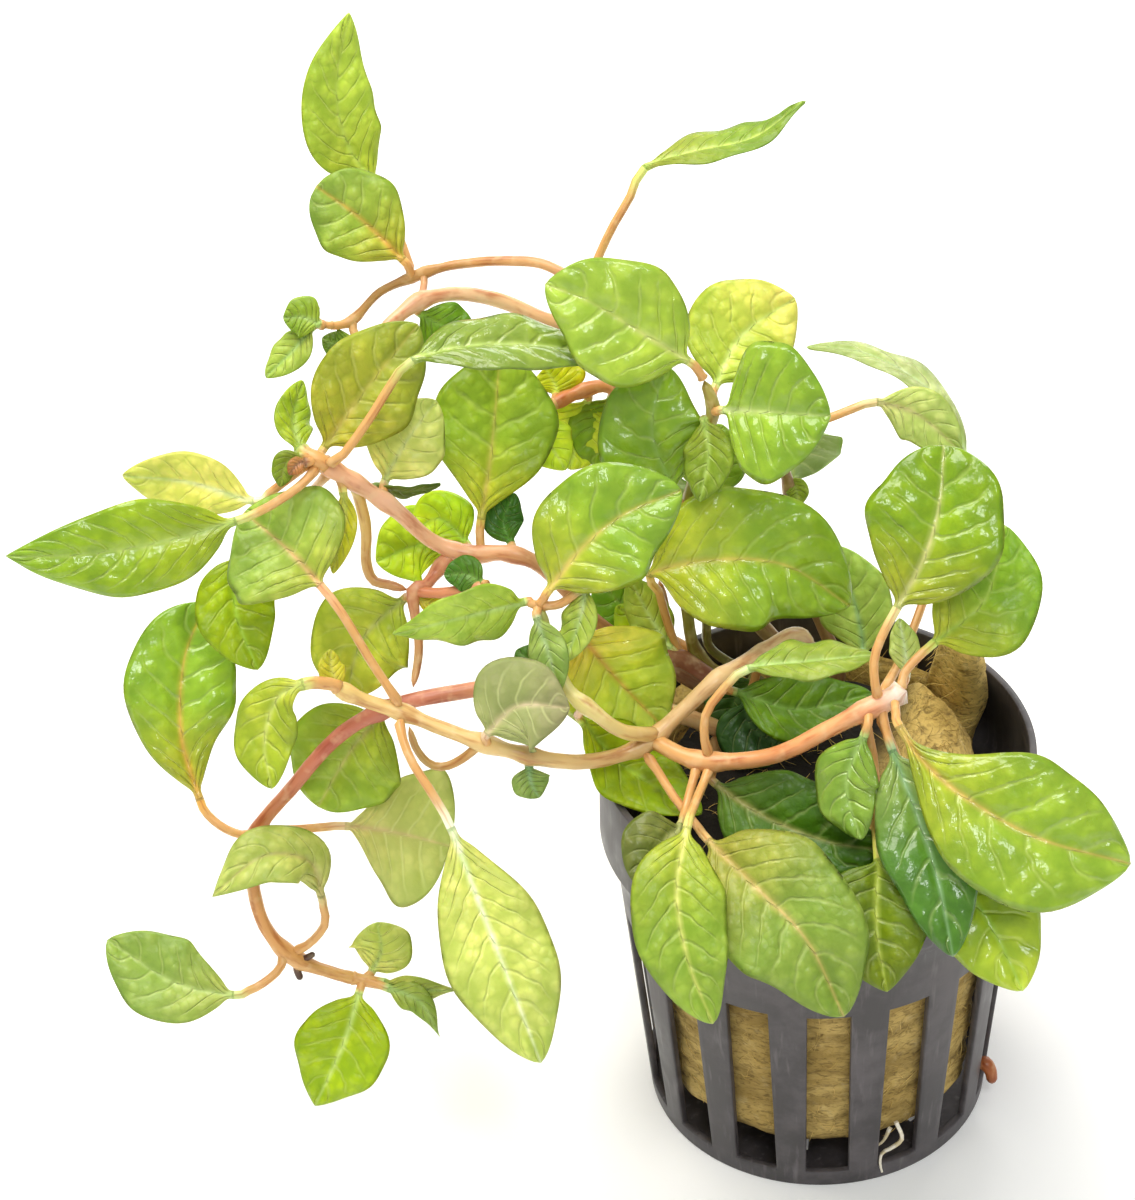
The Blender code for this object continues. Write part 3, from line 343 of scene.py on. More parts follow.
# root: where it leaves the wool, in mm; fork: the stem it grows from and where it is seen to leave it;
# route: points seen in the photograph with their depth behind the pot's axis in mm; thick: diameters at
# both ends in mm; tone: its colours from foot to tip; tipLeaf: the young leaf that ends the shoot
stems = {
    "stem_front": dict(
        tone=("#b8a888", "#ccb490", "#d4b480", "#dcb880", "#e0b878", "#eccc88", "#e4c07c", "#eccc80"),
        root=(1.0, 8.0), thick=(2.1, 1.5),
        route=[(800, 638, 7), (760, 655, 3), (717, 680, -2), (680, 713, -5), (640, 747, -8),
               (579, 762, -11), (510, 751, -12), (441, 728, -11), (404, 713, -10), (361, 699, -10),
               (330, 684, -11)],
        tipLeaf=dict(blade=[(304, 684, 1.5), (277, 700, 1), (265, 742, 0), (272, 789, 0)],
                     width=7.6, turn=14, shape=(0.5, 0.9, 0.7),
                     tone=("#a0b848", "#9cbc44", "#96b83c"), rib="#c4cc70")),
    "stem_red": dict(
        tone=("#e4b87c", "#f4c88c", "#e8ac78", "#cc8468", "#c47058", "#c88450", "#d8a060", "#d4a864"),
        root=(-12.0, 3.0), thick=(2.2, 1.5),
        route=[(620, 698, 1), (570, 686, 0), (530, 682, -1), (470, 690, -3), (397, 705, -5),
               (340, 735, -6), (290, 790, -7), (258, 830, -8), (252, 870, -9), (262, 920, -11),
               (290, 955, -12), (330, 972, -12), (362, 980, -12)],
        tipLeaf=dict(blade=[(384, 984, 0), (418, 989, 0.4), (458, 990, 0)], width=3.6, turn=25,
                     shape=(0.35, 0.9, 1.3),
                     tone=("#b4c478", "#98b468", "#98b070"), rib="#a8c074")),
    "stem_left": dict(
        tone=("#3c2a20", "#5c4430", "#9c7450", "#cc9464", "#f0b488", "#f4c09c", "#ecb080"),
        root=(-9.0, 6.0), thick=(1.7, 1.9),
        route=[(650, 658, 6), (622, 641, 6), (592, 618, 6), (564, 588, 6.5), (536, 563, 7),
               (505, 553, 7.5), (470, 554, 8), (432, 541, 8), (396, 510, 7), (354, 482, 6), (316, 459, 5)],
        tipLeaf=dict(blade=[(302, 450, -1), (292, 420, -3), (302, 380, -5)], width=5.0, turn=30,
                     tone=("#94b430", "#90b834", "#a0c838"), rib="#a0b45c")),
    "stem_trunk": dict(
        tone=("#8c7c58", "#a89068", "#c8a070", "#e0a878", "#e4ac78", "#e8c090", "#e8ac84"),
        root=(-2.0, 14.0), thick=(2.2, 1.7),
        route=[(705, 560, 16), (655, 470, 20), (622, 385, 23), (590, 335, 26), (540, 318, 26),
               (510, 304, 26), (480, 296, 25), (450, 294, 24), (420, 301, 22), (392, 322, 19),
               (382, 336, 17)]),
    "stem_middle": dict(
        tone=("#a08a50", "#90943c", "#a89c4c"),
        root=(-9.5, 10.5), thick=(1.6, 1.2),
        route=[(698, 655, 9), (687, 610, 10), (684, 560, 11), (690, 500, 12), (700, 445, 13),
               (713, 412, 14), (704, 380, 15)]),
    "stem_right": dict(
        tone=("#9a7a58", "#a8885c"),
        root=(2.5, 16.0), thick=(1.8, 1.2),
        route=[(808, 590, 17), (800, 540, 18), (790, 490, 19), (775, 435, 19), (765, 400, 20)]),
    "stem_front_right": dict(
        tone=("#dcac68", "#e0a468", "#e69c64", "#f0b078", "#f0b898"),
        fork=("stem_front", 655, 742), thick=(2.0, 1.9),
        route=[(686, 757, -10), (717, 762, -11), (778, 754, -12), (848, 719, -12), (885, 701, -11),
               (907, 691, -11)], cut=True),
    "stem_front_left": dict(
        tone=("#dcb470", "#e0c47c", "#dcd084", "#c4c870", "#a0a454"),
        fork=("stem_front", 655, 736), thick=(1.9, 1.3),
        route=[(622, 731, -10), (594, 712, -10), (567, 688, -8), (553, 650, -5), (538, 606, -3)]),
    "stem_hanging": dict(
        tone=("#e0a078", "#cc8464", "#d09c68", "#dcb480"),
        fork=("stem_left", 452, 552), thick=(1.6, 0.9),
        route=[(437, 571, 7), (426, 585, 5), (413, 594, 4), (419, 646, 1), (413, 688, -3)]),
    "stem_top": dict(
        tone=("#d8986c", "#e0ac74", "#c89458", "#b08850", "#dca868"),
        fork=("stem_trunk", 588, 333), thick=(1.4, 0.9),
        route=[(580, 290, 27), (548, 266, 29), (510, 261, 30), (470, 263, 31), (440, 268, 31),
               (413, 277, 31), (380, 292, 30), (355, 318, 29), (340, 325, 28), (322, 325, 27)],
        tipLeaf=dict(blade=[(312, 328, 0), (294, 350, 0), (266, 378, 0)], width=4.5, turn=20,
                     tone=("#a0be68", "#a0c470", "#98be68"), rib="#a8c47c")),
    "stalk_loop": dict(
        tone=("#e4c478", "#e0bc70", "#d4a868", "#c48c5c"),
        fork=("stem_left", 350, 482), thick=(1.5, 1.1),
        route=[(360, 500, 7), (366, 530, 7), (366, 560, 6.5), (373, 580, 5.5), (390, 585, 5),
               (408, 590, 4.5)]),
    "stalk_side": dict(
        tone=("#cc8058", "#d89068", "#dca070"),
        fork=("stem_hanging", 416, 591), thick=(1.3, 1.2),
        route=[(440, 593, 3.5), (462, 590, 3), (486, 585, 2)]),
    "stalk_down": dict(
        tone=("#b08850", "#d89c78", "#dca080"),
        fork=("stem_top", 425, 272), thick=(0.9, 0.9),
        route=[(424, 285, 29.5), (421, 297, 27), (416, 303, 24)]),
    "stalk_under": dict(
        tone=("#d8a868", "#c89c58", "#a88c50", "#c8a468"),
        fork=("stem_front", 482, 743), thick=(1.2, 0.9),
        route=[(466, 756, -12), (447, 766, -12.5), (430, 764, -12.5), (416, 748, -12), (409, 726, -11)]),
    "stub_low": dict(
        tone=("#8c6440", "#5c4030", "#48342c"),
        fork=("stem_red", 299, 962), thick=(1.1, 0.8), route=[(297, 969, -12.6), (301, 980, -13)]),
    "stub_side": dict(
        tone=("#8c6440", "#5c4030", "#48342c"),
        fork=("stem_red", 301, 961), thick=(1.0, 0.7), route=[(308, 957, -12.2), (315, 953, -12)]),
    "stem_short_left": dict(
        tone=("#8c6034", "#b87c3c", "#b07c40"),
        root=(-11.5, 8.0), thick=(1.3, 1.1), route=[(677, 655, 10), (668, 620, 11), (659, 580, 12)]),
    "stem_short_back": dict(
        tone=("#5c5434", "#7c7c40", "#8c9048"),
        root=(-6.5, 11.5), thick=(1.3, 1.1), route=[(712, 650, 11), (706, 620, 12), (697, 582, 13)]),
    "stem_stump": dict(
        tone=("#5c3828", "#80503c", "#946848"),
        root=(-8.0, 6.5), thick=(2.4, 3.2), route=[(684, 664, 7.5), (668, 661, 7), (654, 655, 6.5)]),
    "stem_inner": dict(
        tone=("#e0a068", "#cc7848"),
        fork=("stem_trunk", 630, 402), thick=(1.6, 1.3),
        route=[(605, 386, 23), (572, 395, 22), (546, 408, 20)],
        tipLeaf=dict(blade=[(538, 412, 0), (548, 440, -1), (566, 470, -2)], width=6.0,
                     tone=("#b8e040", "#c8f048", "#b0dc40"), rib="#d0dc7c")),
}


def nearestOn(path, at):
    seen = Vector(at)
    return min(path, key=lambda place: (seenAt(place) - seen).length)


def stemPath(name):
    spec = stems[name]
    route = [spot(*point) for point in spec["route"]]
    if "root" in spec:
        x, y = spec["root"]
        start = [Vector((x, y, woolTop + stemPlan["clear"] + rise)) * mm
                 for rise in (-stemPlan["sunk"], 0, stemPlan["upright"])]
    else:
        start = [nearestOn(stemPaths[spec["fork"][0]], spec["fork"][1:])]
    rough = smoothPath(start + route, 40)
    return smoothPath(start + route, max(16, round(lengthOf(rough) / (stemPlan["rowEvery"] * mm))))


def carried(path):  # a side direction carried along a path without twist
    ways = waysOf(path)
    side = ways[0].orthogonal().normalized()
    sides = []
    for way in ways:
        side = (side - way * side.dot(way)).normalized()
        sides.append(side)
    return ways, sides


def stemTube(name, path, thick, tones, nodes, swellings=(), cut=False, columns=stemPlan["columns"]):
    plan = stemPlan
    ways, sides = carried(path)
    rows = len(path) - 1
    step = lengthOf(path) / rows
    toneList = [linear(tone) for tone in tones]
    pale = linear(plan["cutTone"])

    def radiusAt(row):
        if row in (0, rows):
            return 0.0
        radius = (thick[0] + (thick[1] - thick[0]) * row / rows) / 2 * mm
        if swellings:
            gap = min((path[row] - place).length for place in swellings) / (plan["swellingReach"] * mm)
            radius += plan["swelling"] * mm * math.exp(-gap * gap) * thick[0] / 2
        return radius * plan["tip"] if row == rows - 1 and not cut else radius

    def place(row, column):
        angle = 2 * math.pi * column / columns
        out = sides[row] * math.cos(angle) + ways[row].cross(sides[row]) * math.sin(angle)
        radius = radiusAt(row)
        point = path[row] + out * radius
        uneven = wobble(point + out * 3 * mm, plan["unevenWide"], plan["uneven"])
        uneven += plan["ridge"] * math.sin(angle * plan["ridges"])
        if cut and row > rows - 3:
            uneven += wobble(point, plan["raggedWide"], plan["ragged"])
        return point + out * radius * uneven

    def tone(row, column):
        colour = mixed(toneList, row / rows)
        colour *= 1 + wobble(path[row], plan["mottleWide"], plan["mottle"])
        if cut:
            colour = colour.lerp(pale, ease(row, rows - 5, rows - 1))
        return colour

    wrapped(name, rows, columns, place, tone, lambda row, column: (row * step / mm, column / columns),
            oneKind, [stemSkin], nodes)


stemPaths = {}
for name in stems:
    stemPaths[name] = stemPath(name)


# leaves
leafPlan = dict(
    stalkRows=9, bladeRows=42, half=24,      # grid
    steps=200,                               # points of the midrib from which the rows are set
    thickness=0.42, stalkThick=1.05,         # mm
    turn=0, fold=12,                         # degrees
    face=None, under=False, wet=False,
    pucker=0.026,                            # bulge between veins, as a share of the width
    curl=-0.7, wave=0.35,                    # mm at the margin
    waves=5.5,                               # half waves along a margin
    arch=0.3,                                # how far side veins sweep towards the tip
    stagger=0.4,                             # how far the veins of one side stand before the other's
    shape=(0.42, 0.85, 0.7),                 # belly's place, fullness towards base and tip
    groove=0.16, keel=0.4, keelWide=0.55,    # the midrib above and below, mm
    ribWide=(0.42, 0.14),                    # the midrib's colour at base and tip, mm
    flare=0.45,                              # how much wider the stalk's foot is
    stalkTone="#dca866", belowTone="#b4bf98", veins=6,
    paintedThroughLight=(1.4, 1.1, 0.6),                # painted light through the blade: turns its colours yellower
)

# stem and at: the stem it grows from and where it is seen to leave it; stalk and blade: the midrib's
# points in the photograph, each with how far it is nearer than the stem, in mm; width in mm; turn: how
# far the blade turns about its midrib from facing the eye; face: for a leaf that points away, the way
# its upper side looks; under: its lower side shows; tone: colours from base to tip; rib: its midrib
leaves = {
    "leaf_top_tall": dict(
        tone=("#b0cc58", "#a4cc58", "#a4cc60"), rib="#b9c95a", veins=8, shape=(0.36, 1.0, 0.85),
        stem="stem_top", at=(413, 277), stalk=[(406, 255, -1), (394, 225, -2)],
        blade=[(376, 187, -2), (346, 142, 0), (336, 85, 2), (349, 12, 4)], width=9.5, turn=15),
    "leaf_top_short": dict(
        tone=("#b8be54", "#94ba58", "#86b062"), rib="#dba950", shape=(0.55, 1.0, 0.5),
        stem="stem_top", at=(413, 277), stalk=[(409, 268, 1)],
        blade=[(403, 260, 1.5), (360, 218, 2.5), (316, 186, 3)], width=11.0),
    "leaf_top_right": dict(
        tone=("#9cb05c", "#7ca442", "#6c983e"), rib="#c9d874", veins=8, shape=(0.4, 1.1, 0.9),
        stem="stem_top", at=(585, 292), stalk=[(598, 258, 0), (612, 228, 1), (630, 197, 1)],
        blade=[(645, 168, 1), (695, 152, 2), (755, 138, 3), (806, 101, 4)], width=8.0, turn=-62),
    "leaf_top_middle": dict(
        tone=("#98c04e", "#9cc85a", "#94c05c"), rib="#c9cf78", wet=True,
        stem="stem_middle", at=(704, 380), stalk=[(697, 369, 1)],
        blade=[(688, 361, 1.5), (640, 332, 3), (590, 302, 4), (545, 284, 4)], width=14.5),
    "leaf_top_long": dict(
        tone=("#74983f", "#7ca050", "#6c903c"), rib="#b5c86e", wet=True,
        stem="stem_left", at=(323, 463), stalk=[(340, 458, 2), (372, 415, 3), (390, 386, 3)],
        blade=[(412, 361, 3), (470, 346, 2), (540, 346, 0), (602, 358, -3)], width=9.0, turn=-45),
    "leaf_centre": dict(
        tone=("#b8c848", "#94c040", "#88b43e"), rib="#cdbb5a", shape=(0.55, 1.25, 0.6),
        stem="stem_left", at=(480, 553), stalk=[(480, 535, 0)],
        blade=[(481, 520, 0), (492, 445, 0.5), (500, 352, 0)], width=15.0),
    "leaf_olive_upper": dict(
        tone=("#a3ae3e", "#9db04a", "#8aa548"), rib="#c7b85c",
        stem="stem_left", at=(319, 461), stalk=[(321, 455, -0.5)],
        blade=[(324, 448, -1), (366, 388, -1.5), (418, 324, -3)], width=12.5, turn=10),
    "leaf_pale_small": dict(
        tone=("#d8e8ac", "#c8e0a4", "#bcd89c"), rib="#d3d696",
        stem="stem_left", at=(385, 503), stalk=[(384, 492, -1)],
        blade=[(385, 481, -1.5), (406, 442, -1.5), (436, 400, -2)], width=9.5),
    "leaf_left_pale": dict(
        tone=("#e0eca8", "#deeea0", "#d4e89c"), rib="#f0f2c0", shape=(0.45, 0.95, 0.75),
        stem="stem_left", at=(316, 460), stalk=[(292, 476, -2), (268, 494, -3)],
        blade=[(254, 501, -3), (190, 482, -3), (122, 475, -3)], width=8.0, turn=-25),
    "leaf_left_far": dict(
        tone=("#9aba28", "#88b426", "#7cae2c"), rib="#bcd070", veins=9, wet=True, shape=(0.4, 0.95, 0.95),
        stem="stem_left", at=(322, 464), stalk=[(302, 484, 1), (275, 503, 1), (252, 515, 1)],
        blade=[(236, 521, 1), (160, 543, 2), (80, 555, 3), (5, 556, 3)], width=11.0, turn=-10),
    "leaf_left_broad": dict(
        tone=("#a4ba60", "#90ba68", "#88b460"), rib="#dcab7c",
        stem="stem_front", at=(404, 713), stalk=[(397, 700, 1), (372, 663, 2), (343, 615, 3)],
        blade=[(321, 586, 3), (288, 550, 2), (244, 512, 0)], width=16.5),
    "leaf_left_bright": dict(
        tone=("#98bc10", "#94bc0c", "#88ac0c"), rib="#aed04c",
        stem="stem_left", at=(332, 468), stalk=[(303, 500, -9), (262, 532, -9)],
        blade=[(238, 556, -8), (236, 612, -7), (258, 670, -6)], width=9.5),
    "leaf_left_tall": dict(
        tone=("#b0b844", "#86b83e", "#7cb042"), rib="#d9a850", shape=(0.58, 1.25, 0.6), veins=7, wet=True,
        stem="stem_red", at=(258, 830), stalk=[(243, 835, 0.5), (224, 828, 1), (208, 815, 1)],
        blade=[(200, 800, 1), (181, 735, 1), (184, 660, 1), (206, 603, 0)], width=13.5, turn=5),
    "leaf_behind_red": dict(
        tone=("#a0bc48", "#94bc48", "#88b444"), rib="#b9b468", shape=(0.45, 0.75, 0.6),
        stem="stem_red", at=(382, 713), stalk=[(381, 711, -2)],
        blade=[(382, 714, -4.2), (350, 752, -7), (318, 807, -9.5)], width=14.5),
    "leaf_olive_low": dict(
        tone=("#9cbc4c", "#acc850", "#b8cc54"), rib="#b4b86a",
        stem="stem_hanging", at=(413, 594), stalk=[(408, 597, -1)],
        blade=[(403, 600, -1.5), (362, 640, -2), (346, 700, -3)], width=12.5),
    "leaf_light_middle": dict(
        tone=("#a0c858", "#a0cc64", "#98c258"), rib="#b5cc7c", shape=(0.3, 0.8, 1.0),
        stem="stem_front_left", at=(538, 606), stalk=[(530, 603, 0)],
        blade=[(524, 602, 0), (460, 617, 1.8), (392, 634, 1.6)], width=8.5, turn=-40),
    "leaf_bright_behind": dict(
        tone=("#b0dc30", "#b4e434", "#acd834"), rib="#a8cc50",
        stem="stem_hanging", at=(440, 568), stalk=[(446, 560, -3)],
        blade=[(446, 553, -4), (418, 545, -5), (376, 562, -5)], width=9.5),
    "leaf_purple": dict(
        tone=("#90a068", "#8a9a68", "#80786a"), rib="#d7c2a0",
        stem="stem_front", at=(487, 744), stalk=[(486, 739, 2)],
        blade=[(487, 734, 2.5), (518, 706, 3), (570, 708, 4)], width=11.5, under=True),
    "leaf_under_stem": dict(
        tone=("#80a474", "#80a86c", "#749c60"), rib="#93b484",
        stem="stem_front", at=(528, 756), stalk=[(529, 763, -0.5)],
        blade=[(529, 767, -0.5), (531, 782, -0.5), (539, 798, -0.5)], width=4.6),
    "leaf_node_yellow": dict(
        tone=("#c8c850", "#c0c848", "#b4c044"), rib="#d8d070",
        stem="stem_front", at=(345, 692), stalk=[],
        blade=[(340, 688, 0.5), (331, 669, 0.6), (330, 649, 0.4)], width=3.4, turn=20),
    "leaf_left_low": dict(
        tone=("#c8c882", "#b8cc74", "#b0cc6c"), rib="#d0b888", shape=(0.72, 1.3, 0.45),
        stem="stem_red", at=(258, 830), stalk=[(276, 830, -0.5), (300, 829, -1), (325, 827, -1)],
        blade=[(345, 826, -1), (394, 832, -1), (450, 846, -1.5)], width=17.0, under=True),
    "leaf_long_hanging": dict(
        tone=("#c8dc9c", "#c0dc94", "#b4d48c"), rib="#f0f4d4", veins=9, shape=(0.52, 1.1, 0.75),
        stem="stem_front", at=(404, 713), stalk=[(400, 728, 1), (411, 760, 2), (433, 795, 2)],
        blade=[(451, 828, 2), (480, 905, 3), (511, 985, 3), (541, 1063, 2)], width=12.8),
    "leaf_folded": dict(
        tone=("#a4b484", "#acc888", "#b0cc90"), rib="#b9ae70", shape=(0.5, 0.9, 1.0),
        stem="stem_red", at=(290, 955), stalk=[(310, 943, 1), (325, 924, 3), (323, 905, 4)],
        blade=[(321, 895, 6), (308, 861, 9), (262, 857, 11), (212, 897, 11)], width=7.5, turn=20),
    "leaf_low_left": dict(
        tone=("#a4bc80", "#90b874", "#82aa64"), rib="#bccc80", shape=(0.5, 1.0, 0.7),
        stem="stem_red", at=(284, 950), stalk=[(280, 968, 0.5), (262, 984, 1), (245, 992, 1)],
        blade=[(234, 995, 1), (175, 983, 1), (107, 940, 1)], width=10.5),
    "leaf_lowest": dict(
        tone=("#a8cb20", "#98c214", "#90b914"), rib="#cfe088", shape=(0.45, 0.85, 0.9),
        stem="stem_red", at=(362, 980), stalk=[(361, 987, 0.5)],
        blade=[(359, 993, 0.7), (343, 1045, 1.8), (315, 1106, 0.4)], width=11.5),
    "leaf_round_low": dict(
        tone=("#c8dc9c", "#c0d894", "#b4d08c"), rib="#b4c47c", shape=(0.5, 0.7, 0.6),
        stem="stem_red", at=(362, 980), stalk=[(369, 975, -0.5)],
        blade=[(372, 971, -0.8), (381, 950, -1), (377, 922, -1)], width=7.8),
    "leaf_middle_left": dict(
        tone=("#a8b840", "#84b63c", "#7dae46"), rib="#dcc46a", wet=True,
        stem="stem_front_left", at=(538, 606), stalk=[(544, 598, 0.5)],
        blade=[(549, 590, 1), (582, 548, 2), (624, 514, 2), (682, 490, 1)], width=14.5),
    "leaf_glossy_middle": dict(
        tone=("#b4c848", "#8cbc3c", "#84b444"), rib="#d8c060", shape=(0.4, 0.62, 0.72), wet=True, veins=8,
        stem="stem_middle", at=(699, 662), stalk=[(681, 655, 1), (667, 621, 4), (659, 592, 7.5)],
        blade=[(650, 574, 10.3), (710, 560, 11.4), (785, 565, 10.6), (850, 606, 8.5)], width=17.0),
    "leaf_dark_upper": dict(
        tone=("#78a434", "#7cac38", "#74a438"), rib="#93b05c", wet=True,
        stem="stem_middle", at=(688, 515), stalk=[(680, 503, 2)],
        blade=[(673, 490, 3), (652, 428, 5.5), (666, 365, 6)], width=13.0),
    "leaf_glossy_upper": dict(
        tone=("#86b442", "#84b440", "#7aac3c"), rib="#c2cf86", wet=True,
        stem="stem_middle", at=(713, 412), stalk=[(718, 411, 1.5)],
        blade=[(724, 410, 2), (774, 412, 5), (831, 416, 6)], width=16.5),
    "leaf_pale_top": dict(
        tone=("#a4c85c", "#bcda70", "#dfe69c"), rib="#d9e48c",
        stem="stem_middle", at=(713, 408), stalk=[(713, 396, -1)],
        blade=[(716, 385, -2), (742, 335, -3), (795, 298, -4)], width=13.5),
    "leaf_right_edge": dict(
        tone=("#c4dcb0", "#b8d8a4", "#a8cc94"), rib="#d0c48a", shape=(0.45, 1.1, 0.8),
        stem="stem_right", at=(775, 432), stalk=[(800, 427, 2), (829, 418, 3), (860, 406, 3)],
        blade=[(876, 402, 3), (918, 414, 2), (962, 452, 1)], width=7.0, turn=15),
    "leaf_right_band": dict(
        tone=("#9cbc9c", "#a6c2ac", "#a0c09c"), rib="#c2d2a0",
        stem="stem_front_right", at=(878, 704),
        stalk=[(905, 650, -9), (938, 560, -15), (963, 495, -18)],
        blade=[(966, 460, -18), (934, 396, -18), (870, 356, -18), (806, 347, -18)], width=7.0, turn=65),
    "leaf_right_big": dict(
        tone=("#9cac3c", "#78a618", "#709e14"), rib="#d8cf90", shape=(0.5, 0.95, 0.5), wet=True, veins=7,
        stem="stem_front_right", at=(884, 701), stalk=[(876, 690, 1), (874, 661, 1.5), (882, 636, 1.5)],
        blade=[(897, 608, 1.5), (926, 553, 2), (940, 500, 2), (944, 445, 1)], width=16.0),
    "leaf_right_behind": dict(
        tone=("#bccc54", "#80b440", "#78ac40"), rib="#b9cc5c",
        stem="stem_front_right", at=(898, 695), stalk=[(904, 674, -1), (919, 656, -1.5)],
        blade=[(934, 643, -2), (986, 597, -4), (1005, 525, -5)], width=13.0),
    "leaf_grey_back": dict(
        tone=("#a8d088", "#a8d488", "#a0d07c"), rib="#9cc08c",
        stem="stem_front", at=(800, 638), stalk=[(835, 658, -2)],
        blade=[(862, 655, -3), (854, 600, -3), (832, 545, -3)], width=9.0),
    "leaf_in_pot": dict(
        tone=("#dcd860", "#bce45c", "#b8e074"), rib="#e0a850", wet=True,
        stem="stem_front_left", at=(550, 645), stalk=[(564, 633, -1)],
        blade=[(578, 634, -3), (618, 680, -8), (664, 728, -12)], width=14.5),
    "leaf_under_front": dict(
        tone=("#a4c814", "#9cc614", "#90be14"), rib="#b0d04c",
        stem="stem_front_left", at=(585, 705), stalk=[(580, 713, -3)],
        blade=[(582, 721, -5.5), (628, 770, -9.5), (702, 814, -6)], width=10.0, turn=-30),
    "leaf_narrow_light": dict(
        tone=("#86a858", "#8cac58", "#84a450"), rib="#c2d890",
        stem="stem_front_right", at=(714, 762), stalk=[(705, 742, 1), (706, 714, 2), (723, 690, 2)],
        blade=[(748, 669, 2), (812, 662, 2), (876, 656, 1)], width=8.0, turn=-55),
    "leaf_dark_middle": dict(
        tone=("#5c8c10", "#5a8c10", "#50820c"), rib="#86ac54",
        stem="stem_front", at=(717, 680), stalk=[(728, 690, -2)],
        blade=[(736, 692, -3), (800, 710, -4), (872, 694, -5)], width=9.0, turn=-20),
    "leaf_dark_front": dict(
        # its lighter grey-green base tone is a painted sheen on its lit left part
        tone=("#5c863c", "#407210", "#3c6e0c"), rib="#a09a5c",
        stem="stem_front_right", at=(712, 762), stalk=[(712, 773, -1.5)],
        blade=[(716, 784, -1.5), (768, 818, 0), (830, 842, 2), (884, 850, 3.5)], width=12.5),
    "leaf_curled": dict(
        tone=("#70a040", "#7aa652", "#70a048"), rib="#a8c474", wet=True,
        stem="stem_front_right", at=(868, 711), stalk=[(868, 724, 1.5)],
        blade=[(864, 736, 1), (847, 786, 0), (862, 840, 0.5)], width=8.0, turn=20),
    "leaf_dark_hanging": dict(
        # its pale grey-green base tone is a painted sheen along its upper part
        tone=("#88ac74", "#4c8434", "#40762a"), rib="#8cb080", wet=True,
        stem="stem_front_right", at=(880, 703), stalk=[(884, 720, 0.2), (888, 738, 0.2)],
        blade=[(892, 750, 0.6), (917, 814, 2.2), (938, 880, 5), (953, 957, 5.5)], width=11.0),
    "leaf_round_right": dict(
        tone=("#a4b840", "#88b43c", "#86b446"), rib="#dcb468", shape=(0.58, 1.7, 0.75), wet=True, veins=7,
        stem="stem_front_right", at=(897, 696), stalk=[(896, 714, 2.4)],
        blade=[(899, 726, 3.2), (926, 764, 4.6), (968, 799, 6.2), (1038, 838, 7.5), (1131, 864, 6)],
        width=17.0),
    "leaf_below_round": dict(
        tone=("#90b432", "#98c238", "#acd050"), rib="#b4d460", wet=True,
        stem="stem_front_right", at=(874, 708), stalk=[(898, 760, -3.5), (925, 830, -1)],
        blade=[(943, 862, 0.5), (988, 920, 2.5), (1023, 991, 3.5)], width=12.0),
    "leaf_olive_front": dict(
        tone=("#608020", "#608010", "#6c8814"), rib="#b4bf50", shape=(0.36, 0.7, 0.8),
        stem="stem_front_right", at=(864, 712), stalk=[(874, 762, -3.5), (876, 830, -0.5)],
        blade=[(878, 860, 1.2), (877, 930, 3), (887, 992, 3.5)], width=13.5),
    "leaf_front_left": dict(
        tone=("#a4be4c", "#86b04c", "#8ab45c"), rib="#dcd87c", veins=8,
        stem="stem_front_right", at=(712, 764), stalk=[(704, 782, 1), (694, 806, 4)],
        blade=[(687, 828, 7.5), (677, 890, 11), (688, 960, 11.5), (713, 1024, 11)], width=11.0),
    "leaf_front_big": dict(
        tone=("#a0a65c", "#80a65c", "#7aa052"), rib="#d8b678", shape=(0.42, 0.75, 0.7), veins=8,
        stem="stem_front", at=(640, 747), stalk=[(657, 770, 1), (674, 797, 2.5), (697, 826, 4)],
        blade=[(709, 841, 8), (758, 889, 12.5), (808, 942, 14), (844, 1017, 13)], width=16.3),
    "leaf_behind_top": dict(
        tone=("#6fa028", "#609820", "#6ca030"), rib="#8ab048",
        stem="stem_trunk", at=(415, 303), stalk=[(417, 309, -0.5)],
        blade=[(420, 313, -1), (446, 328, -2), (476, 342, -3)], width=6.5, turn=10),
    "leaf_tip_round": dict(
        tone=("#a0c860", "#90bc50", "#88b448"), rib="#a8c474",
        stem="stem_top", at=(322, 325), stalk=[],
        blade=[(319, 324, 0.5), (302, 317, 1), (283, 318, 1)], width=5.2),
    "leaf_tip_spike": dict(
        tone=("#a0c860", "#90bc50", "#90bc58"), rib="#b0cc80",
        stem="stem_top", at=(322, 325), stalk=[],
        blade=[(317, 321, -0.3), (309, 312, 0), (304, 298, 0)], width=2.8),
    "leaf_tip_dark": dict(
        tone=("#7ca838", "#5c8828", "#547c24"), rib="#8ca858",
        stem="stem_top", at=(352, 319), stalk=[(353, 329, 0)],
        blade=[(354, 337, 0), (338, 344, -0.3), (322, 338, -0.5)], width=3.8),
    "leaf_left_small": dict(
        tone=("#8ca43c", "#7c9c30", "#6c9028"), rib="#a0a850",
        stem="stem_left", at=(316, 459), stalk=[(306, 457, 0.4)],
        blade=[(300, 456, 0.5), (286, 463, 0.5), (280, 487, 0)], width=3),
    "leaf_scale": dict(
        tone=("#c89878", "#b08060", "#906048"), rib="#906850",
        stem="stem_left", at=(316, 459), stalk=[(309, 462, 0.8)],
        blade=[(305, 462, 1), (297, 465, 1.2), (289, 475, 1.2)], width=2),
    "leaf_small_under": dict(
        tone=("#6c8c3c", "#507028", "#486820"), rib="#7c9450",
        stem="stem_left", at=(385, 503), stalk=[],
        blade=[(374, 487, -1.5), (405, 491, -2), (441, 484, -2.5)], width=3.6, turn=68),
    "leaf_bright_upper": dict(
        tone=("#98cc20", "#b4e828", "#b8e830"), rib="#acd050",
        stem="stem_left", at=(465, 554), stalk=[(466, 548, -2)],
        blade=[(466, 543, -3), (441, 519, -3.5), (412, 530, -4)], width=7.2),
    "leaf_dark_notch": dict(
        tone=("#447c20", "#2f6814", "#346c18"), rib="#5c8c38",
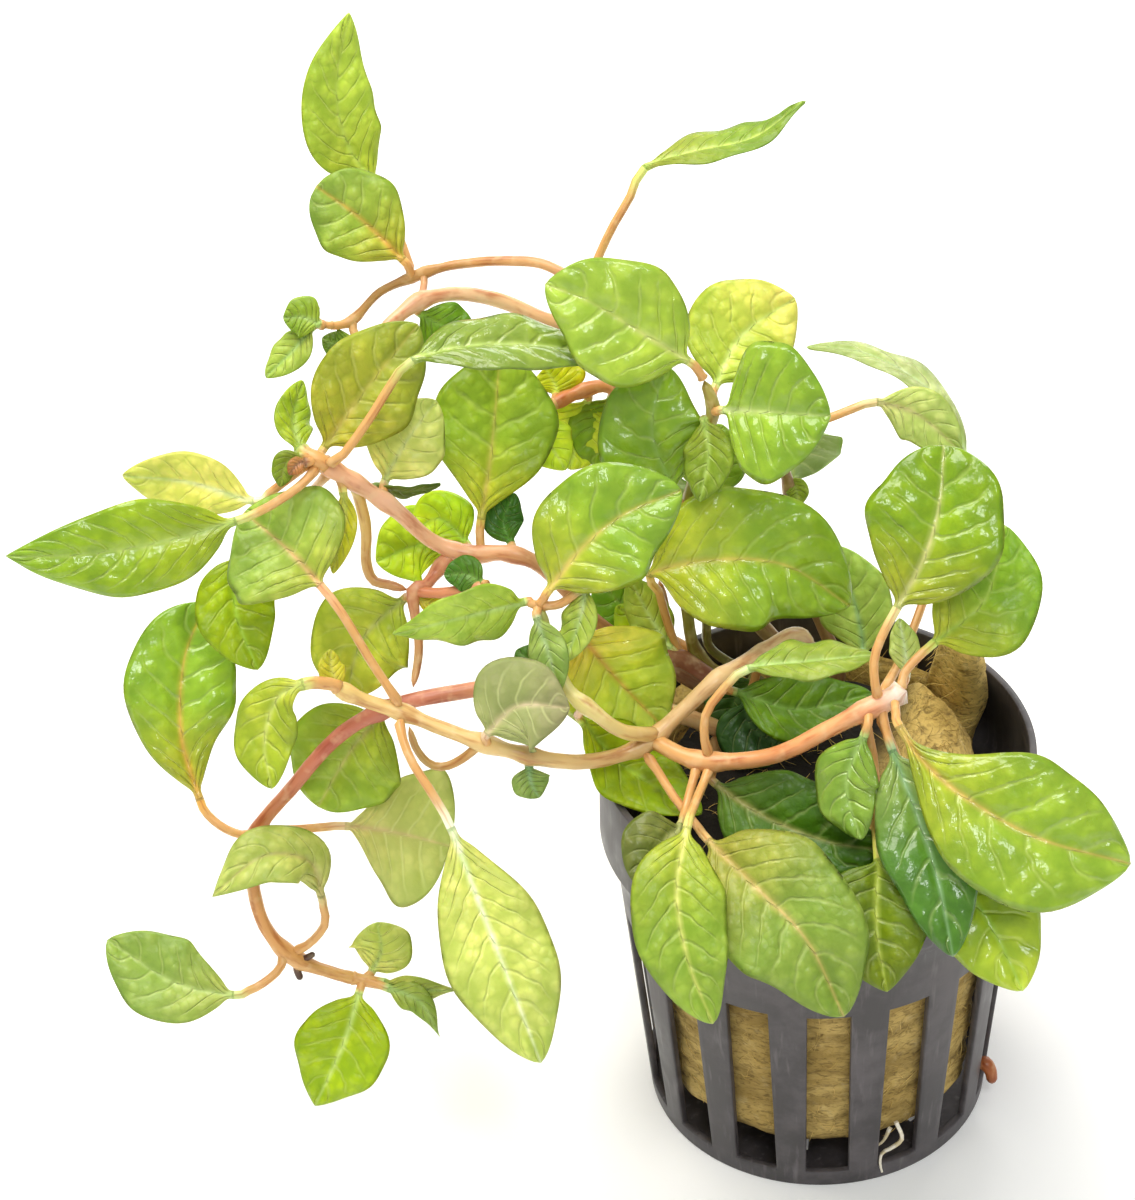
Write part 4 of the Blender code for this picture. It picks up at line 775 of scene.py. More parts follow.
        stem="stem_left", at=(516, 551), stalk=[(512, 546, -1)],
        blade=[(511, 543, -1.5), (504, 520, -2), (515, 493, -2.5)], width=4.8),
    "leaf_small_yellow": dict(
        tone=("#c8cc3c", "#b4c02c", "#a8b82c"), rib="#d8d45c",
        stem="stem_hanging", at=(413, 594), stalk=[],
        blade=[(417, 598, -0.5), (436, 605, -1), (461, 600, -1.5)], width=2.4),
    "leaf_under_fork": dict(
        tone=("#5c8c38", "#487c2c", "#448030"), rib="#7ca050",
        stem="stalk_side", at=(484, 586), stalk=[],
        blade=[(482, 583, -0.5), (466, 574, -1), (444, 575, -1.5)], width=4.4),
    "leaf_yellow_strip": dict(
        tone=("#c4cc4c", "#b8c83c", "#c4cc54"), rib="#dcd878",
        stem="stem_left", at=(334, 470), stalk=[(340, 480, -0.8)],
        blade=[(343, 492, -1), (345, 520, -1.5), (333, 574, -2)], width=3.4, turn=20),
    "leaf_spiky_low": dict(
        tone=("#90ac58", "#7ca054", "#84a868"), rib="#a8c074", shape=(0.3, 0.9, 1.4),
        stem="stem_red", at=(362, 980), stalk=[(374, 983, 0.5)],
        blade=[(388, 988, 0.6), (420, 1002, 0.8), (440, 1037, 0.4)], width=3.6, turn=10),
    "leaf_yellow_back": dict(
        tone=("#b8cc1c", "#c4dc24", "#c8e02c"), rib="#d8e464",
        stem="stem_inner", at=(560, 402), stalk=[(556, 398, -0.5)],
        blade=[(556, 394, -1), (554, 382, -1.5), (545, 368, -2)], width=7.8),
    "leaf_yellow_under": dict(
        tone=("#b4d83c", "#c8e45c", "#b8dc38"), rib="#d0dc7c",
        stem="stem_inner", at=(586, 390), stalk=[(588, 396, -1)],
        blade=[(588, 400, -2), (580, 430, -3), (570, 470, -4)], width=8.8),
    "leaf_green_under": dict(
        tone=("#84b03c", "#7cac34", "#78a430"), rib="#a8c460",
        stem="stem_trunk", at=(622, 385), stalk=[(614, 392, -1)],
        blade=[(611, 398, -2), (602, 430, -3), (604, 470, -4)], width=8),
    "leaf_strip": dict(
        tone=("#84a03c", "#80a43c", "#74983c"), rib="#b8cc70",
        stem="stem_middle", at=(704, 430), stalk=[],
        blade=[(704, 420, 1.5), (709, 455, 1.6), (700, 502, 1.2)], width=6.0, turn=10),
    "leaf_fill_upper": dict(
        tone=("#8cb040", "#84b03c", "#7ca834"), rib="#b4c468",
        stem="stem_middle", at=(690, 500), stalk=[(691, 496, -1)],
        blade=[(693, 491, -2), (708, 462, -3), (722, 424, -4)], width=9),
    "leaf_bit_right": dict(
        tone=("#8cac3c", "#7c9c34", "#789830"), rib="#a8b45c",
        stem="stem_right", at=(790, 490), stalk=[],
        blade=[(789, 480, 0.8), (797, 490, 1), (797, 507, 1)], width=2.8),
    "leaf_centre_light": dict(
        tone=("#98b458", "#a0c064", "#98bc60"), rib="#c0d088", wave=0.1,
        stem="stem_middle", at=(698, 655), stalk=[(684, 656, 1)],
        blade=[(670, 648, 2), (648, 614, 3), (628, 576, 4)], width=5.6, turn=15),
    "leaf_centre_yellow": dict(
        tone=("#98c01c", "#a4cc1c", "#9cc820"), rib="#c4d858",
        stem="stem_middle", at=(698, 655), stalk=[(680, 658, 0)],
        blade=[(662, 652, -1), (642, 630, -1), (616, 606, -1)], width=6.6),
    "leaf_centre_green": dict(
        tone=("#6ca01c", "#68a420", "#64a020"), rib="#94b850",
        stem="stem_middle", at=(698, 650), stalk=[(675, 640, -1)],
        blade=[(650, 630, -2), (624, 608, -2), (596, 580, -2)], width=8.4),
    "leaf_hanging_grey": dict(
        tone=("#90b070", "#84ac70", "#7ca468"), rib="#a8bc88",
        stem="stem_front_left", at=(538, 606), stalk=[(537, 612, 0.5)],
        blade=[(537, 618, 0.8), (550, 655, 1), (558, 694, 0.5)], width=4.8, turn=20),
    "leaf_hanging_light": dict(
        tone=("#a4c064", "#9cc06c", "#a0c474"), rib="#c0d094",
        stem="stem_front_left", at=(538, 606), stalk=[(560, 604, 0)],
        blade=[(584, 590, 0.5), (580, 622, 0.5), (566, 662, 0)], width=4.6, turn=25),
    "leaf_hanging_dark": dict(
        tone=("#5c8c34", "#4c7c30", "#487c30"), rib="#7c9c54",
        stem="stem_front_left", at=(553, 650), stalk=[(555, 668, -0.5)],
        blade=[(558, 692, -1), (538, 668, -0.6), (516, 650, -1)], width=6.2),
    # these two leaves: their near-black greens are painted shade between the stems inside the pot
    "leaf_shade_low": dict(
        tone=("#3c6c38", "#2c5834", "#2c5c30"), rib="#587c50",
        stem="stem_front", at=(760, 655), stalk=[(752, 688, -4)],
        blade=[(746, 702, -5), (752, 728, -5), (792, 752, -4)], width=9.6),
    "leaf_shade_back": dict(
        tone=("#3c6824", "#346020", "#30581c"), rib="#5c8038",
        stem="stem_front", at=(760, 655), stalk=[(756, 672, -5)],
        blade=[(752, 680, -6), (735, 700, -7), (722, 738, -7)], width=7),
    "leaf_front_behind": dict(
        tone=("#6c7c50", "#687c48", "#607444"), rib="#b0b074",
        stem="stem_front_right", at=(700, 765), stalk=[(690, 792, 1), (684, 815, 2.5)],
        blade=[(680, 826, 5), (657, 850, 8), (638, 888, 9)], width=8.8),
    "leaf_back_slit": dict(
        tone=("#b4cc98", "#a4c48c", "#94b874"), rib="#ccd8b0",
        stem="stem_front_right", at=(897, 697), stalk=[(903, 684, -1)],
        blade=[(906, 674, -2), (905, 650, -3), (899, 618, -4)], width=3.6),
    "leaf_back_right": dict(
        tone=("#84b03c", "#7cac3a", "#74a434"), rib="#b4c870",
        stem="stem_right", at=(772, 420), stalk=[(778, 425, -4)],
        blade=[(783, 428, -7), (790, 445, -16), (795, 480, -26)], width=13.0, face=(0.1, 0.5, 0.85)),
    "leaf_back_middle": dict(
        tone=("#7cac3c", "#74a63a", "#6c9e34"), rib="#b0c46c",
        stem="stem_trunk", at=(660, 480), stalk=[(655, 478, -4)],
        blade=[(652, 480, -7), (645, 500, -16), (640, 540, -25)], width=12.0, face=(-0.1, 0.5, 0.85)),
}


def outlineAt(share, half, shape):  # half the width at a share of the blade's length
    belly, base, tip = shape
    if share < belly:
        return half * math.sin(math.pi / 2 * share / belly) ** base
    return half * max(math.cos(math.pi / 2 * (share - belly) / (1 - belly)), 0.0) ** tip


def sideAt(along, place, turn, face):
    if face:
        side = along.cross(Vector(face)).normalized()
    else:
        side = along.cross((eye - place).normalized()).normalized()
    return (Matrix.Rotation(math.radians(turn), 3, along) @ side).normalized()


def leafMesh(name, stalk, blade, spec, nodes):
    given = dict(leafPlan, **spec)
    rng = random.Random(name)
    stalkRows, bladeRows, half = given["stalkRows"], given["bladeRows"], given["half"]
    rows, columns = stalkRows + bladeRows, half * 2
    last = given["steps"] - 1
    midrib = smoothPath(stalk + blade, given["steps"])
    start = min(range(given["steps"]), key=lambda i: (midrib[i] - blade[0]).length)
    sway = rng.uniform(0, 6.3)
    width = given["width"] * mm
    bend = min(given["width"] / 10, 1.0) * mm      # small leaves curl less
    stations = []
    for row in range(rows + 1):
        if row <= stalkRows:
            share, index = 0.0, start * row / stalkRows
        else:
            share = (row - stalkRows) / bladeRows
            share = 0.6 * share + 0.4 * (0.5 - 0.5 * math.cos(math.pi * share))   # closer rows at both ends
            index = start + (last - start) * share
        low = min(int(index), last - 1)
        stations.append((midrib[low].lerp(midrib[low + 1], index - low), share))
    frames = []
    for (place, share), along in zip(stations, waysOf([station[0] for station in stations])):
        side = sideAt(along, place, given["turn"], given["face"])
        frames.append((place, share, side, side.cross(along)))
    # painted light through the blade: every leaf colour is scaled yellower and brighter
    throughLight = Vector(given["paintedThroughLight"])
    tones = [linear(tone) * throughLight for tone in given["tone"]]
    rib = linear(given["rib"]) * 1.25
    stalkTone, below = linear(given["stalkTone"]), linear(given["belowTone"])
    stalkRadius = given["stalkThick"] / 2 * mm

    def acrossAt(column):  # -1 to 1 over the side that faces the eye, and back under the leaf
        share = column / half * 2 - 1 if column <= half else 1 - (column - half) / half * 2
        return math.copysign(abs(share) ** 1.3, share)

    def phaseAt(share, x):  # a whole number on each side vein; 40 keeps it above zero
        swept = given["arch"] * abs(x) ** 1.35 * (1 - 0.45 * share)
        count = given["veins"] * (share - swept) * (1.25 - 0.25 * share)
        return count + (given["stagger"] if x > 0 else 0.0) + 40

    def halfAt(share, x):
        size = outlineAt(share, width / 2, given["shape"])
        return size * (1 + 0.025 * math.sin(17 * share + sway + (2 if x > 0 else 0)))

    def liftAt(share, x, size, spine, side):  # how far the blade's middle layer stands over its midrib
        lift = size * abs(x) * math.tan(math.radians(given["fold"]))
        ripple = math.sin(given["waves"] * math.pi * share + sway + (1.3 if x > 0 else 0))
        lift += (given["curl"] + given["wave"] * ripple) * x * x * bend * math.sin(math.pi * share)
        bulge = abs(math.sin(math.pi * phaseAt(share, x))) ** 0.75
        bulge *= ease(abs(x), 0.03, 0.3) * ease(1 - abs(x), 0.0, 0.4)
        bulge *= ease(share, 0.0, 0.12) * ease(1 - share, 0, 0.1)
        lift += bulge * given["pucker"] * width
        return lift + wobble(spine + side * size * x, 4.0, 0.25 * bend) * abs(x)

    def place(row, column):
        spine, share, side, up = frames[row]
        if row in (0, rows):
            return spine
        x = acrossAt(column)
        angle = math.pi * column / half
        flare = 1 + given["flare"] * (1 - ease(row, 0, 2)) if row <= stalkRows else 1.0
        stalkSide = spine + (up * math.sin(angle) - side * math.cos(angle)) * stalkRadius * flare
        if row <= stalkRows:
            return stalkSide
        size = max(halfAt(share, x), stalkRadius * 0.9 * (1 - share))
        lift = liftAt(share, x, size, spine, side)
        body = given["thickness"] / 2 * mm * (1 - 0.75 * abs(x) ** 3)
        near = math.exp(-(x * size / (given["keelWide"] * mm)) ** 2)
        if column <= half:
            lift += body - near * given["groove"] * mm * (1 - share)
        else:
            lift -= body + near * given["keel"] * mm * (1 - share) ** 0.7
        return stalkSide.lerp(spine + side * (x * size) + up * lift, ease(share, 0.0, 0.1))

    def tone(row, column):
        spine, share, side, up = frames[row]
        if row <= stalkRows:
            return stalkTone.lerp(rib, ease(row, stalkRows * 0.7, stalkRows))
        x = acrossAt(column)
        colour = mixed(tones, share) * (1.04 - 0.16 * abs(x) ** 3)    # darker towards the margin
        colour *= 1 + wobble(spine + side * x * width / 2, 5.0, 0.16)
        if (column > half) != given["under"]:                         # the leaf's lower side
            colour = colour.lerp(below, 0.35)
        ribWidth = (given["ribWide"][0] + (given["ribWide"][1] - given["ribWide"][0]) * share) * mm
        near = math.exp(-(x * halfAt(share, x) / ribWidth) ** 2)
        return colour.lerp(rib, near * (0.95 - 0.45 * share))

    def pattern(row, column):
        if row <= stalkRows:
            return (row * 1.2, column / columns)
        x = acrossAt(column)
        return (phaseAt(frames[row][1], x), abs(x))

    eyeSide, farSide = (1, 0) if given["under"] else (0, 1)
    skins = [leafWet if given["wet"] else leafSatin, leafBelow, stemSkin]
    wrapped(name, rows, columns, place, tone, pattern,
            lambda row, column: 2 if row < stalkRows else (eyeSide if column < half else farSide),
            skins, nodes)


def grownLeaf(name, spec, nodes):
    path = stemPaths[spec["stem"]]
    anchor = nearestOn(path, spec["at"])
    stalk = [beside(*point[:2], anchor, point[2]) for point in spec["stalk"]]
    blade = [beside(*point[:2], anchor, point[2]) for point in spec["blade"]]
    leafMesh(name, [anchor] + stalk, blade, spec, nodes)


joints = {name: [] for name in stems}
for name, spec in leaves.items():
    joints[spec["stem"]].append(nearestOn(stemPaths[spec["stem"]], spec["at"]))
for name, spec in stems.items():
    if "fork" in spec:
        joints[spec["fork"][0]].append(stemPaths[name][0])

for name, spec in stems.items():
    nodes = [name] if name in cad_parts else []
    stemTube(name + "_grown", stemPaths[name], spec["thick"], spec["tone"], nodes, joints[name],
             cut=spec.get("cut", False))
    if "tipLeaf" in spec:
        tip = dict(spec["tipLeaf"], stalkThick=spec["thick"][1])
        end = stemPaths[name][-1]
        blade = [beside(*point[:2], end, point[2]) for point in tip["blade"]]
        leafMesh(name + "_tip", [stemPaths[name][-3], end], blade, tip, nodes)
print("stems built:", len(stems))

for name, spec in leaves.items():
    grownLeaf(name + "_grown", spec, [name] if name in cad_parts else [])
print("leaves built:", len(leaves))


# net pot
potPlan = dict(
    rim=26.0, collarFoot=26.3, shoulder=24.6, base=21.2,      # radii in mm
    height=53.0, collar=11.0, drop=3.0, wall=0.9,
    slots=15, slotWidth=5.3, slotLow=2.4, slotHigh=31.0, slotTurn=3.5,
    drains=6, drainInner=7.0, drainOuter=16.0, drainWidth=2.6,
    floorRings=(0.0, 4.0, 7.0, 10.0, 13.0, 16.0, 19.0),       # radii of the grid's rows in the floor
    slotRows=12, bandRows=3,                                  # grid rows in a slot's height and in a band
    half=8, slotHalf=5,                                       # grid columns from a slot's middle on
    edge=0.16, sharpFrom=50, bevelFrom=40,                    # mm, degrees, degrees
)
potKnee = potPlan["height"] - potPlan["collar"] - potPlan["drop"]   # where the wall turns out to the collar


def potMaterial():
    # injection-moulded black polypropylene: a soft sheen, upright drag marks and a dried film of water; its
    # greys are lighter than the black plastic, partly painted sheen
    material, tree = newMaterial("Black polypropylene")
    place = addNode(tree, "ShaderNodeTexCoord", out="Object")
    upright = addNode(tree, "ShaderNodeMapping", {0: place, 3: (1.0, 1.0, 0.12)})
    drag = addNode(tree, "ShaderNodeTexNoise", {"Vector": upright, "Scale": 1 / (0.9 * mm), "Detail": 3.0})
    film = addNode(tree, "ShaderNodeTexNoise",
                   {"Vector": place, "Scale": 1 / (7 * mm), "Detail": 5.0, "Roughness": 0.6})
    grain = addNode(tree, "ShaderNodeTexNoise", {"Vector": place, "Scale": 1 / (0.25 * mm), "Detail": 1.0})
    share = addNode(tree, "ShaderNodeMapRange", {0: film, 1: 0.4, 2: 0.7}, **smooth)
    # the lighter grey patches and drag marks are the water film and drag marks, and painted sheen
    colour = addNode(tree, "ShaderNodeMix", {0: share, 6: rgba("#3a3637"), 7: rgba("#585355")}, **colours)
    share = addNode(tree, "ShaderNodeMapRange", {0: drag, 1: 0.55, 2: 0.8, 3: 0.0, 4: 0.5}, **smooth)
    colour = addNode(tree, "ShaderNodeMix", {0: share, 6: colour, 7: rgba("#7b7577")}, **colours)
    rough = addNode(tree, "ShaderNodeMapRange", {0: film, 1: 0.35, 2: 0.65, 3: 0.32, 4: 0.55})
    bump = addNode(tree, "ShaderNodeBump", {"Height": drag, "Strength": 0.3, "Distance": 0.06 * mm})
    bump = addNode(tree, "ShaderNodeBump",
                   {"Height": grain, "Strength": 0.2, "Distance": 0.02 * mm, "Normal": bump})
    shader = addNode(tree, "ShaderNodeBsdfPrincipled",
                     {"Base Color": colour, "Roughness": rough, "IOR": 1.49, "Normal": bump})
    addNode(tree, "ShaderNodeOutputMaterial", {0: shader})
    return material


def potProfile():  # (radius, height) up the middle of the floor, the wall and the collar, mm
    plan = potPlan
    low, high, rows, bands = plan["slotLow"], plan["slotHigh"], plan["slotRows"], plan["bandRows"]
    profile = [(radius, 0.0) for radius in plan["floorRings"]]
    heights = [0.0, low / 2] + [low + (high - low) * n / rows for n in range(rows + 1)]
    heights += [(high + potKnee) / 2, potKnee]
    for height in heights:
        profile.append((plan["base"] + (plan["shoulder"] - plan["base"]) * height / potKnee, height))
    for n in range(1, bands + 1):
        profile.append((plan["shoulder"] + (plan["collarFoot"] - plan["shoulder"]) * n / bands,
                        potKnee + plan["drop"] * n / bands))
    for n in range(1, bands + 1):
        profile.append((plan["collarFoot"] + (plan["rim"] - plan["collarFoot"]) * n / bands,
                        plan["height"] - plan["collar"] * (1 - n / bands)))
    return profile


def buildPot():
    plan = potPlan
    profile = potProfile()
    half, slotHalf = plan["half"], plan["slotHalf"]
    columns = plan["slots"] * half * 2
    period = 2 * math.pi / plan["slots"]
    floorRows = len(plan["floorRings"]) - 1
    shape = bmesh.new()
    bmesh.ops.create_grid(shape, x_segments=len(profile) - 1, y_segments=columns, size=0.5)
    where = gridPlaces(shape, len(profile) - 1, columns)
    holes = []
    for face in shape.faces:
        row, column = [min(where[corner][n] for corner in face.verts) for n in (0, 1)]
        height = (profile[row][1] + profile[row + 1][1]) / 2
        reach = (profile[row][0] + profile[row + 1][0]) / 2
        inSlot = (plan["slotLow"] < height < plan["slotHigh"]
                  and -slotHalf <= column % (half * 2) - half < slotHalf)
        turn = (column + 0.5) / columns * plan["drains"] % 1.0
        across = min(turn, 1 - turn) / plan["drains"] * 2 * math.pi * reach
        inDrain = (row < floorRows and plan["drainInner"] < reach < plan["drainOuter"]
                   and across < plan["drainWidth"] / 2)
        if inSlot or inDrain:
            holes.append(face)
    bmesh.ops.delete(shape, geom=holes, context="FACES")
    for corner in shape.verts:
        row, column = where[corner]
        radius, height = profile[row]
        part, step = divmod(column, half * 2)
        step -= half
        turn = period * step / (half * 2)
        if row > floorRows:
            edge = math.asin(plan["slotWidth"] / 2 / radius)
            turn = edge * step / slotHalf
            if abs(step) > slotHalf:
                past = (abs(step) - slotHalf) / (half - slotHalf)
                turn = math.copysign(edge + (period / 2 - edge) * past, step)
        angle = math.radians(plan["slotTurn"]) - math.pi / 2 + period * part + turn
        corner.co = Vector((math.cos(angle) * radius, math.sin(angle) * radius, height)) * mm
    bmesh.ops.remove_doubles(shape, verts=shape.verts, dist=1e-6)
    bmesh.ops.recalc_face_normals(shape, faces=shape.faces)
    if sum(face.normal.dot(face.calc_center_median()) * face.calc_area() for face in shape.faces) < 0:
        bmesh.ops.reverse_faces(shape, faces=shape.faces)
    for face in shape.faces:
        face.smooth = True
    piece = show("net_pot_moulded", shape, [potMaterial()], ["net_pot"])
    wall = piece.modifiers.new("wall", "SOLIDIFY")
    wall.thickness = plan["wall"] * mm
    wall.offset = -1
    soft = piece.modifiers.new("soft edges", "BEVEL")
    soft.width = plan["edge"] * mm
    soft.segments = 2
    soft.limit_method = "ANGLE"
    soft.angle_limit = math.radians(plan["bevelFrom"])
    piece.data.set_sharp_from_angle(angle=math.radians(plan["sharpFrom"]))


buildPot()
print("pot built")


# rock wool
woolPlan = dict(                                              # mm and degrees
    foot=5.0, top=woolTop, gap=0.8,
    wrapStart=28, wrapEnd=172, wrapThick=5.0, wrapLift=9.0, liftFrom=52, liftTo=42,
    coreStep=-8, coreLift=3.5,
    sole=0.8, soleIn=3.0, crown=0.3,                          # the lower side, and how far the top swells
    edgeIn=1.6, edgeHigh=2.5,                                 # the rounded edges
    lump=0.5, lumpWide=3.5, tuft=0.3, wrapTuft=0.25, tuftWide=1.1,
    rows=46, columns=128,                                     # grid
)
fibrePlan = dict(                                             # mm
    count=900, thick=0.1, onTop=0.55,                         # onTop: the share of them on the top
    reach=22.0, wrapFrom=18.8,
    bare=17.5, woolBetween=(0.52, 5.9),                       # wool reaches past bare only between these
                                                              # angles, in radians
    low=6, high=32,                                           # between these heights in the slots
    length=(1.2, 3.2), rise=(0.15, 0.55), bow=0.8,
    points=6, radii=(0.7, 1, 1, 0.9, 0.7, 0.4),
)


def innerAt(height):  # the pot's inner radius, mm
    if height < potKnee:
        return potPlan["base"] + (potPlan["shoulder"] - potPlan["base"]) * height / potKnee - potPlan["wall"]
    share = min((height - potKnee) / potPlan["drop"], 1.0)
    return potPlan["shoulder"] + (potPlan["collarFoot"] - potPlan["shoulder"]) * share - potPlan["wall"]


def woolMaterial():
    # rock wool: spun mineral fibre, matted in layers and damp, golden-tan with brown stains
    material, tree = newMaterial("Damp rock wool")
    place = addNode(tree, "ShaderNodeTexCoord", out="Object")
    stain = addNode(tree, "ShaderNodeTexNoise", {"Vector": place, "Scale": 1 / (9 * mm), "Detail": 4.0})
    laid = addNode(tree, "ShaderNodeMapping", {0: place, 2: (0.15, 0.1, 0.0), 3: (0.25, 0.25, 1.0)})
    layers = addNode(tree, "ShaderNodeTexNoise", {"Vector": laid, "Scale": 1 / (2.2 * mm), "Detail": 3.0})
    matted = addNode(tree, "ShaderNodeMapping", {0: place, 2: (0.5, 0.3, 0.0), 3: (0.45, 0.45, 1.0)})
    fibre = addNode(tree, "ShaderNodeTexNoise",
                    {"Vector": matted, "Scale": 1 / (0.5 * mm), "Detail": 4.0, "Distortion": 1.2})
    clump = addNode(tree, "ShaderNodeTexNoise", {"Vector": place, "Scale": 1 / (1.8 * mm), "Detail": 3.0})
    share = addNode(tree, "ShaderNodeMapRange", {0: stain, 1: 0.35, 2: 0.65}, **smooth)
    colour = addNode(tree, "ShaderNodeMix", {0: share, 6: rgba("#c8a85c"), 7: rgba("#e8c878")}, **colours)
    share = addNode(tree, "ShaderNodeMapRange", {0: layers, 1: 0.35, 2: 0.6, 3: 0.75, 4: 0.0}, **smooth)
    colour = addNode(tree, "ShaderNodeMix", {0: share, 6: colour, 7: rgba("#a48848")}, **colours)
    share = addNode(tree, "ShaderNodeMapRange", {0: fibre, 1: 0.3, 2: 0.55, 3: 0.6, 4: 0.0}, **smooth)
    colour = addNode(tree, "ShaderNodeMix", {0: share, 6: colour, 7: rgba("#5a4626")}, **colours)
    share = addNode(tree, "ShaderNodeMapRange", {0: clump, 1: 0.55, 2: 0.8, 3: 0.0, 4: 0.5}, **smooth)
    colour = addNode(tree, "ShaderNodeMix", {0: share, 6: colour, 7: rgba("#ecd494")}, **colours)
    # the tone attribute darkens the wool towards near-black: damp wool and painted shade under the leaves
    wet = addNode(tree, "ShaderNodeAttribute", out="Fac", attribute_name="tone")
    colour = addNode(tree, "ShaderNodeMix", {0: wet, 6: colour, 7: rgba("#1c1710")}, **colours)
    bump = addNode(tree, "ShaderNodeBump", {"Height": clump, "Strength": 0.6, "Distance": 0.6 * mm})
    bump = addNode(tree, "ShaderNodeBump",
                   {"Height": fibre, "Strength": 0.8, "Distance": 0.3 * mm, "Normal": bump})
    shader = addNode(tree, "ShaderNodeBsdfPrincipled",
                     {"Base Color": colour, "Roughness": 0.9, "Normal": bump, "Specular IOR Level": 0.3})
    addNode(tree, "ShaderNodeOutputMaterial", {0: shader})
    return material


rockWool = woolMaterial()


def woolLevels(close):  # (height, inset, how far the ring has closed over the top or bottom)
    plan = woolPlan
    levels = [(plan["foot"] + plan["sole"], plan["soleIn"], 1.0 - n / close) for n in range(close)]
    for n in range(plan["rows"] + 1):
        height = plan["foot"] + (plan["top"] - plan["foot"]) * n / plan["rows"]
        edge = min(height - plan["foot"], plan["top"] - height)
        levels.append((height, plan["edgeIn"] * (1 - ease(edge, 0.0, plan["edgeHigh"])), 0.0))
    for n in range(1, close + 1):
        height = plan["top"] + plan["crown"] * math.sin(math.pi * n / close)
        levels.append((height, plan["edgeIn"], n / close))
    return levels


def lumpy(point, out, tuft):  # the wool's uneven face
    lump = wobble(point, woolPlan["lumpWide"], woolPlan["lump"]) + wobble(point, woolPlan["tuftWide"], tuft)
    return point + out * (lump - 0.15) * mm


def coreRise(x, y, height):  # the plug is a little higher on its dry right side, mm
    return woolPlan["coreLift"] * ease(height, 26, woolPlan["top"] - 2) * ease(x, 8.5, 13) * ease(y, -9, -3)


def wrapRise(angle, height):  # the strip's right end stands up out of the pot, mm
    end = 1 - ease(math.degrees(angle), woolPlan["liftTo"], woolPlan["liftFrom"])
    return woolPlan["wrapLift"] * ease(height, 26, woolPlan["top"] - 2) * end


def woolCore():
    levels = woolLevels(12)
    columns = woolPlan["columns"]
    first, last = (math.radians(woolPlan[name]) for name in ("coreStep", "wrapEnd"))

    def place(row, column):
        height, inset, closed = levels[row]
        angle = 2 * math.pi * column / columns - math.pi / 2
        reach = innerAt(height) - woolPlan["gap"] - inset
        behind = ease(angle, first - 0.32, first - 0.12) * (1 - ease(angle, last + 0.12, last + 0.32))
        reach -= behind * (woolPlan["wrapThick"] + woolPlan["gap"])
        reach *= 1 - closed
        point = Vector((math.cos(angle) * reach, math.sin(angle) * reach, height))
        point.z += coreRise(point.x, point.y, height)
        point *= mm
        out = Vector((math.cos(angle), math.sin(angle), 0)) * (1 - closed)
        out += Vector((0, 0, 0.9)) * ease(closed, 0, 0.2)
        return lumpy(point, out, woolPlan["tuft"])

    def tone(row, column):  # golden on the right; darker towards the bottom and near-black elsewhere on the top: damp wool and painted shade under the leaves
        height = levels[row][0]
        at = place(row, column) / mm
        wet = 0.28 * (1 - ease(height, 34.0, 44.0))
        wet += ease(height, 44.0, 49.0) * (1 - ease(at.x - 0.3 * at.y, 5.0, 10.0))
        return (wet, wet, wet)

    wrapped("wool_core_matted", len(levels) - 1, columns, place, tone, plainPattern, oneKind, [rockWool],
            ["wool_core"])


def woolWrap():
    levels = woolLevels(3)
    half = woolPlan["columns"] // 2
    first, last = (math.radians(woolPlan[name]) for name in ("wrapStart", "wrapEnd"))

    def place(row, column):
        height, inset, closed = levels[row]
        outside = column < half
        share = column / half if outside else 1 - (column - half) / half
        angle = first + (last - first) * share
        outer = innerAt(height) - woolPlan["gap"] - inset
        inner = innerAt(height) - woolPlan["gap"] - woolPlan["wrapThick"] + inset / 2
        middle = (outer + inner) / 2
        end = math.sqrt(max(1 - (abs(share * 2 - 1)) ** 24, 0.0))
        reach = middle + ((outer if outside else inner) - middle) * (1 - closed) * end
        height += wrapRise(angle, height)
        point = Vector((math.cos(angle) * reach, math.sin(angle) * reach, height)) * mm
        out = Vector((math.cos(angle), math.sin(angle), 0)) * ((1 if outside else -1) * (1 - closed))
        out += Vector((0, 0, 0.9)) * closed
        return lumpy(point, out, woolPlan["wrapTuft"])

    wrapped("wool_wrap_matted", len(levels) - 1, half * 2, place, lambda row, column: (0.0, 0.0, 0.0),
            plainPattern, oneKind, [rockWool], ["wool_wrap"])


woolCore()
woolWrap()


def strands(name, paths, material, thick):
    curve = bpy.data.curves.new(name, "CURVE")
    curve.dimensions = "3D"
    curve.bevel_depth = thick / 2 * mm
    curve.bevel_resolution = 0
    curve.use_fill_caps = True
    for path, radii in paths:
        line = curve.splines.new("POLY")
        line.points.add(len(path) - 1)
        for knot, place, radius in zip(line.points, path, radii):
            knot.co = (*place, 1.0)
            knot.radius = radius
    curve.materials.append(material)
    addPiece(name, curve, [])


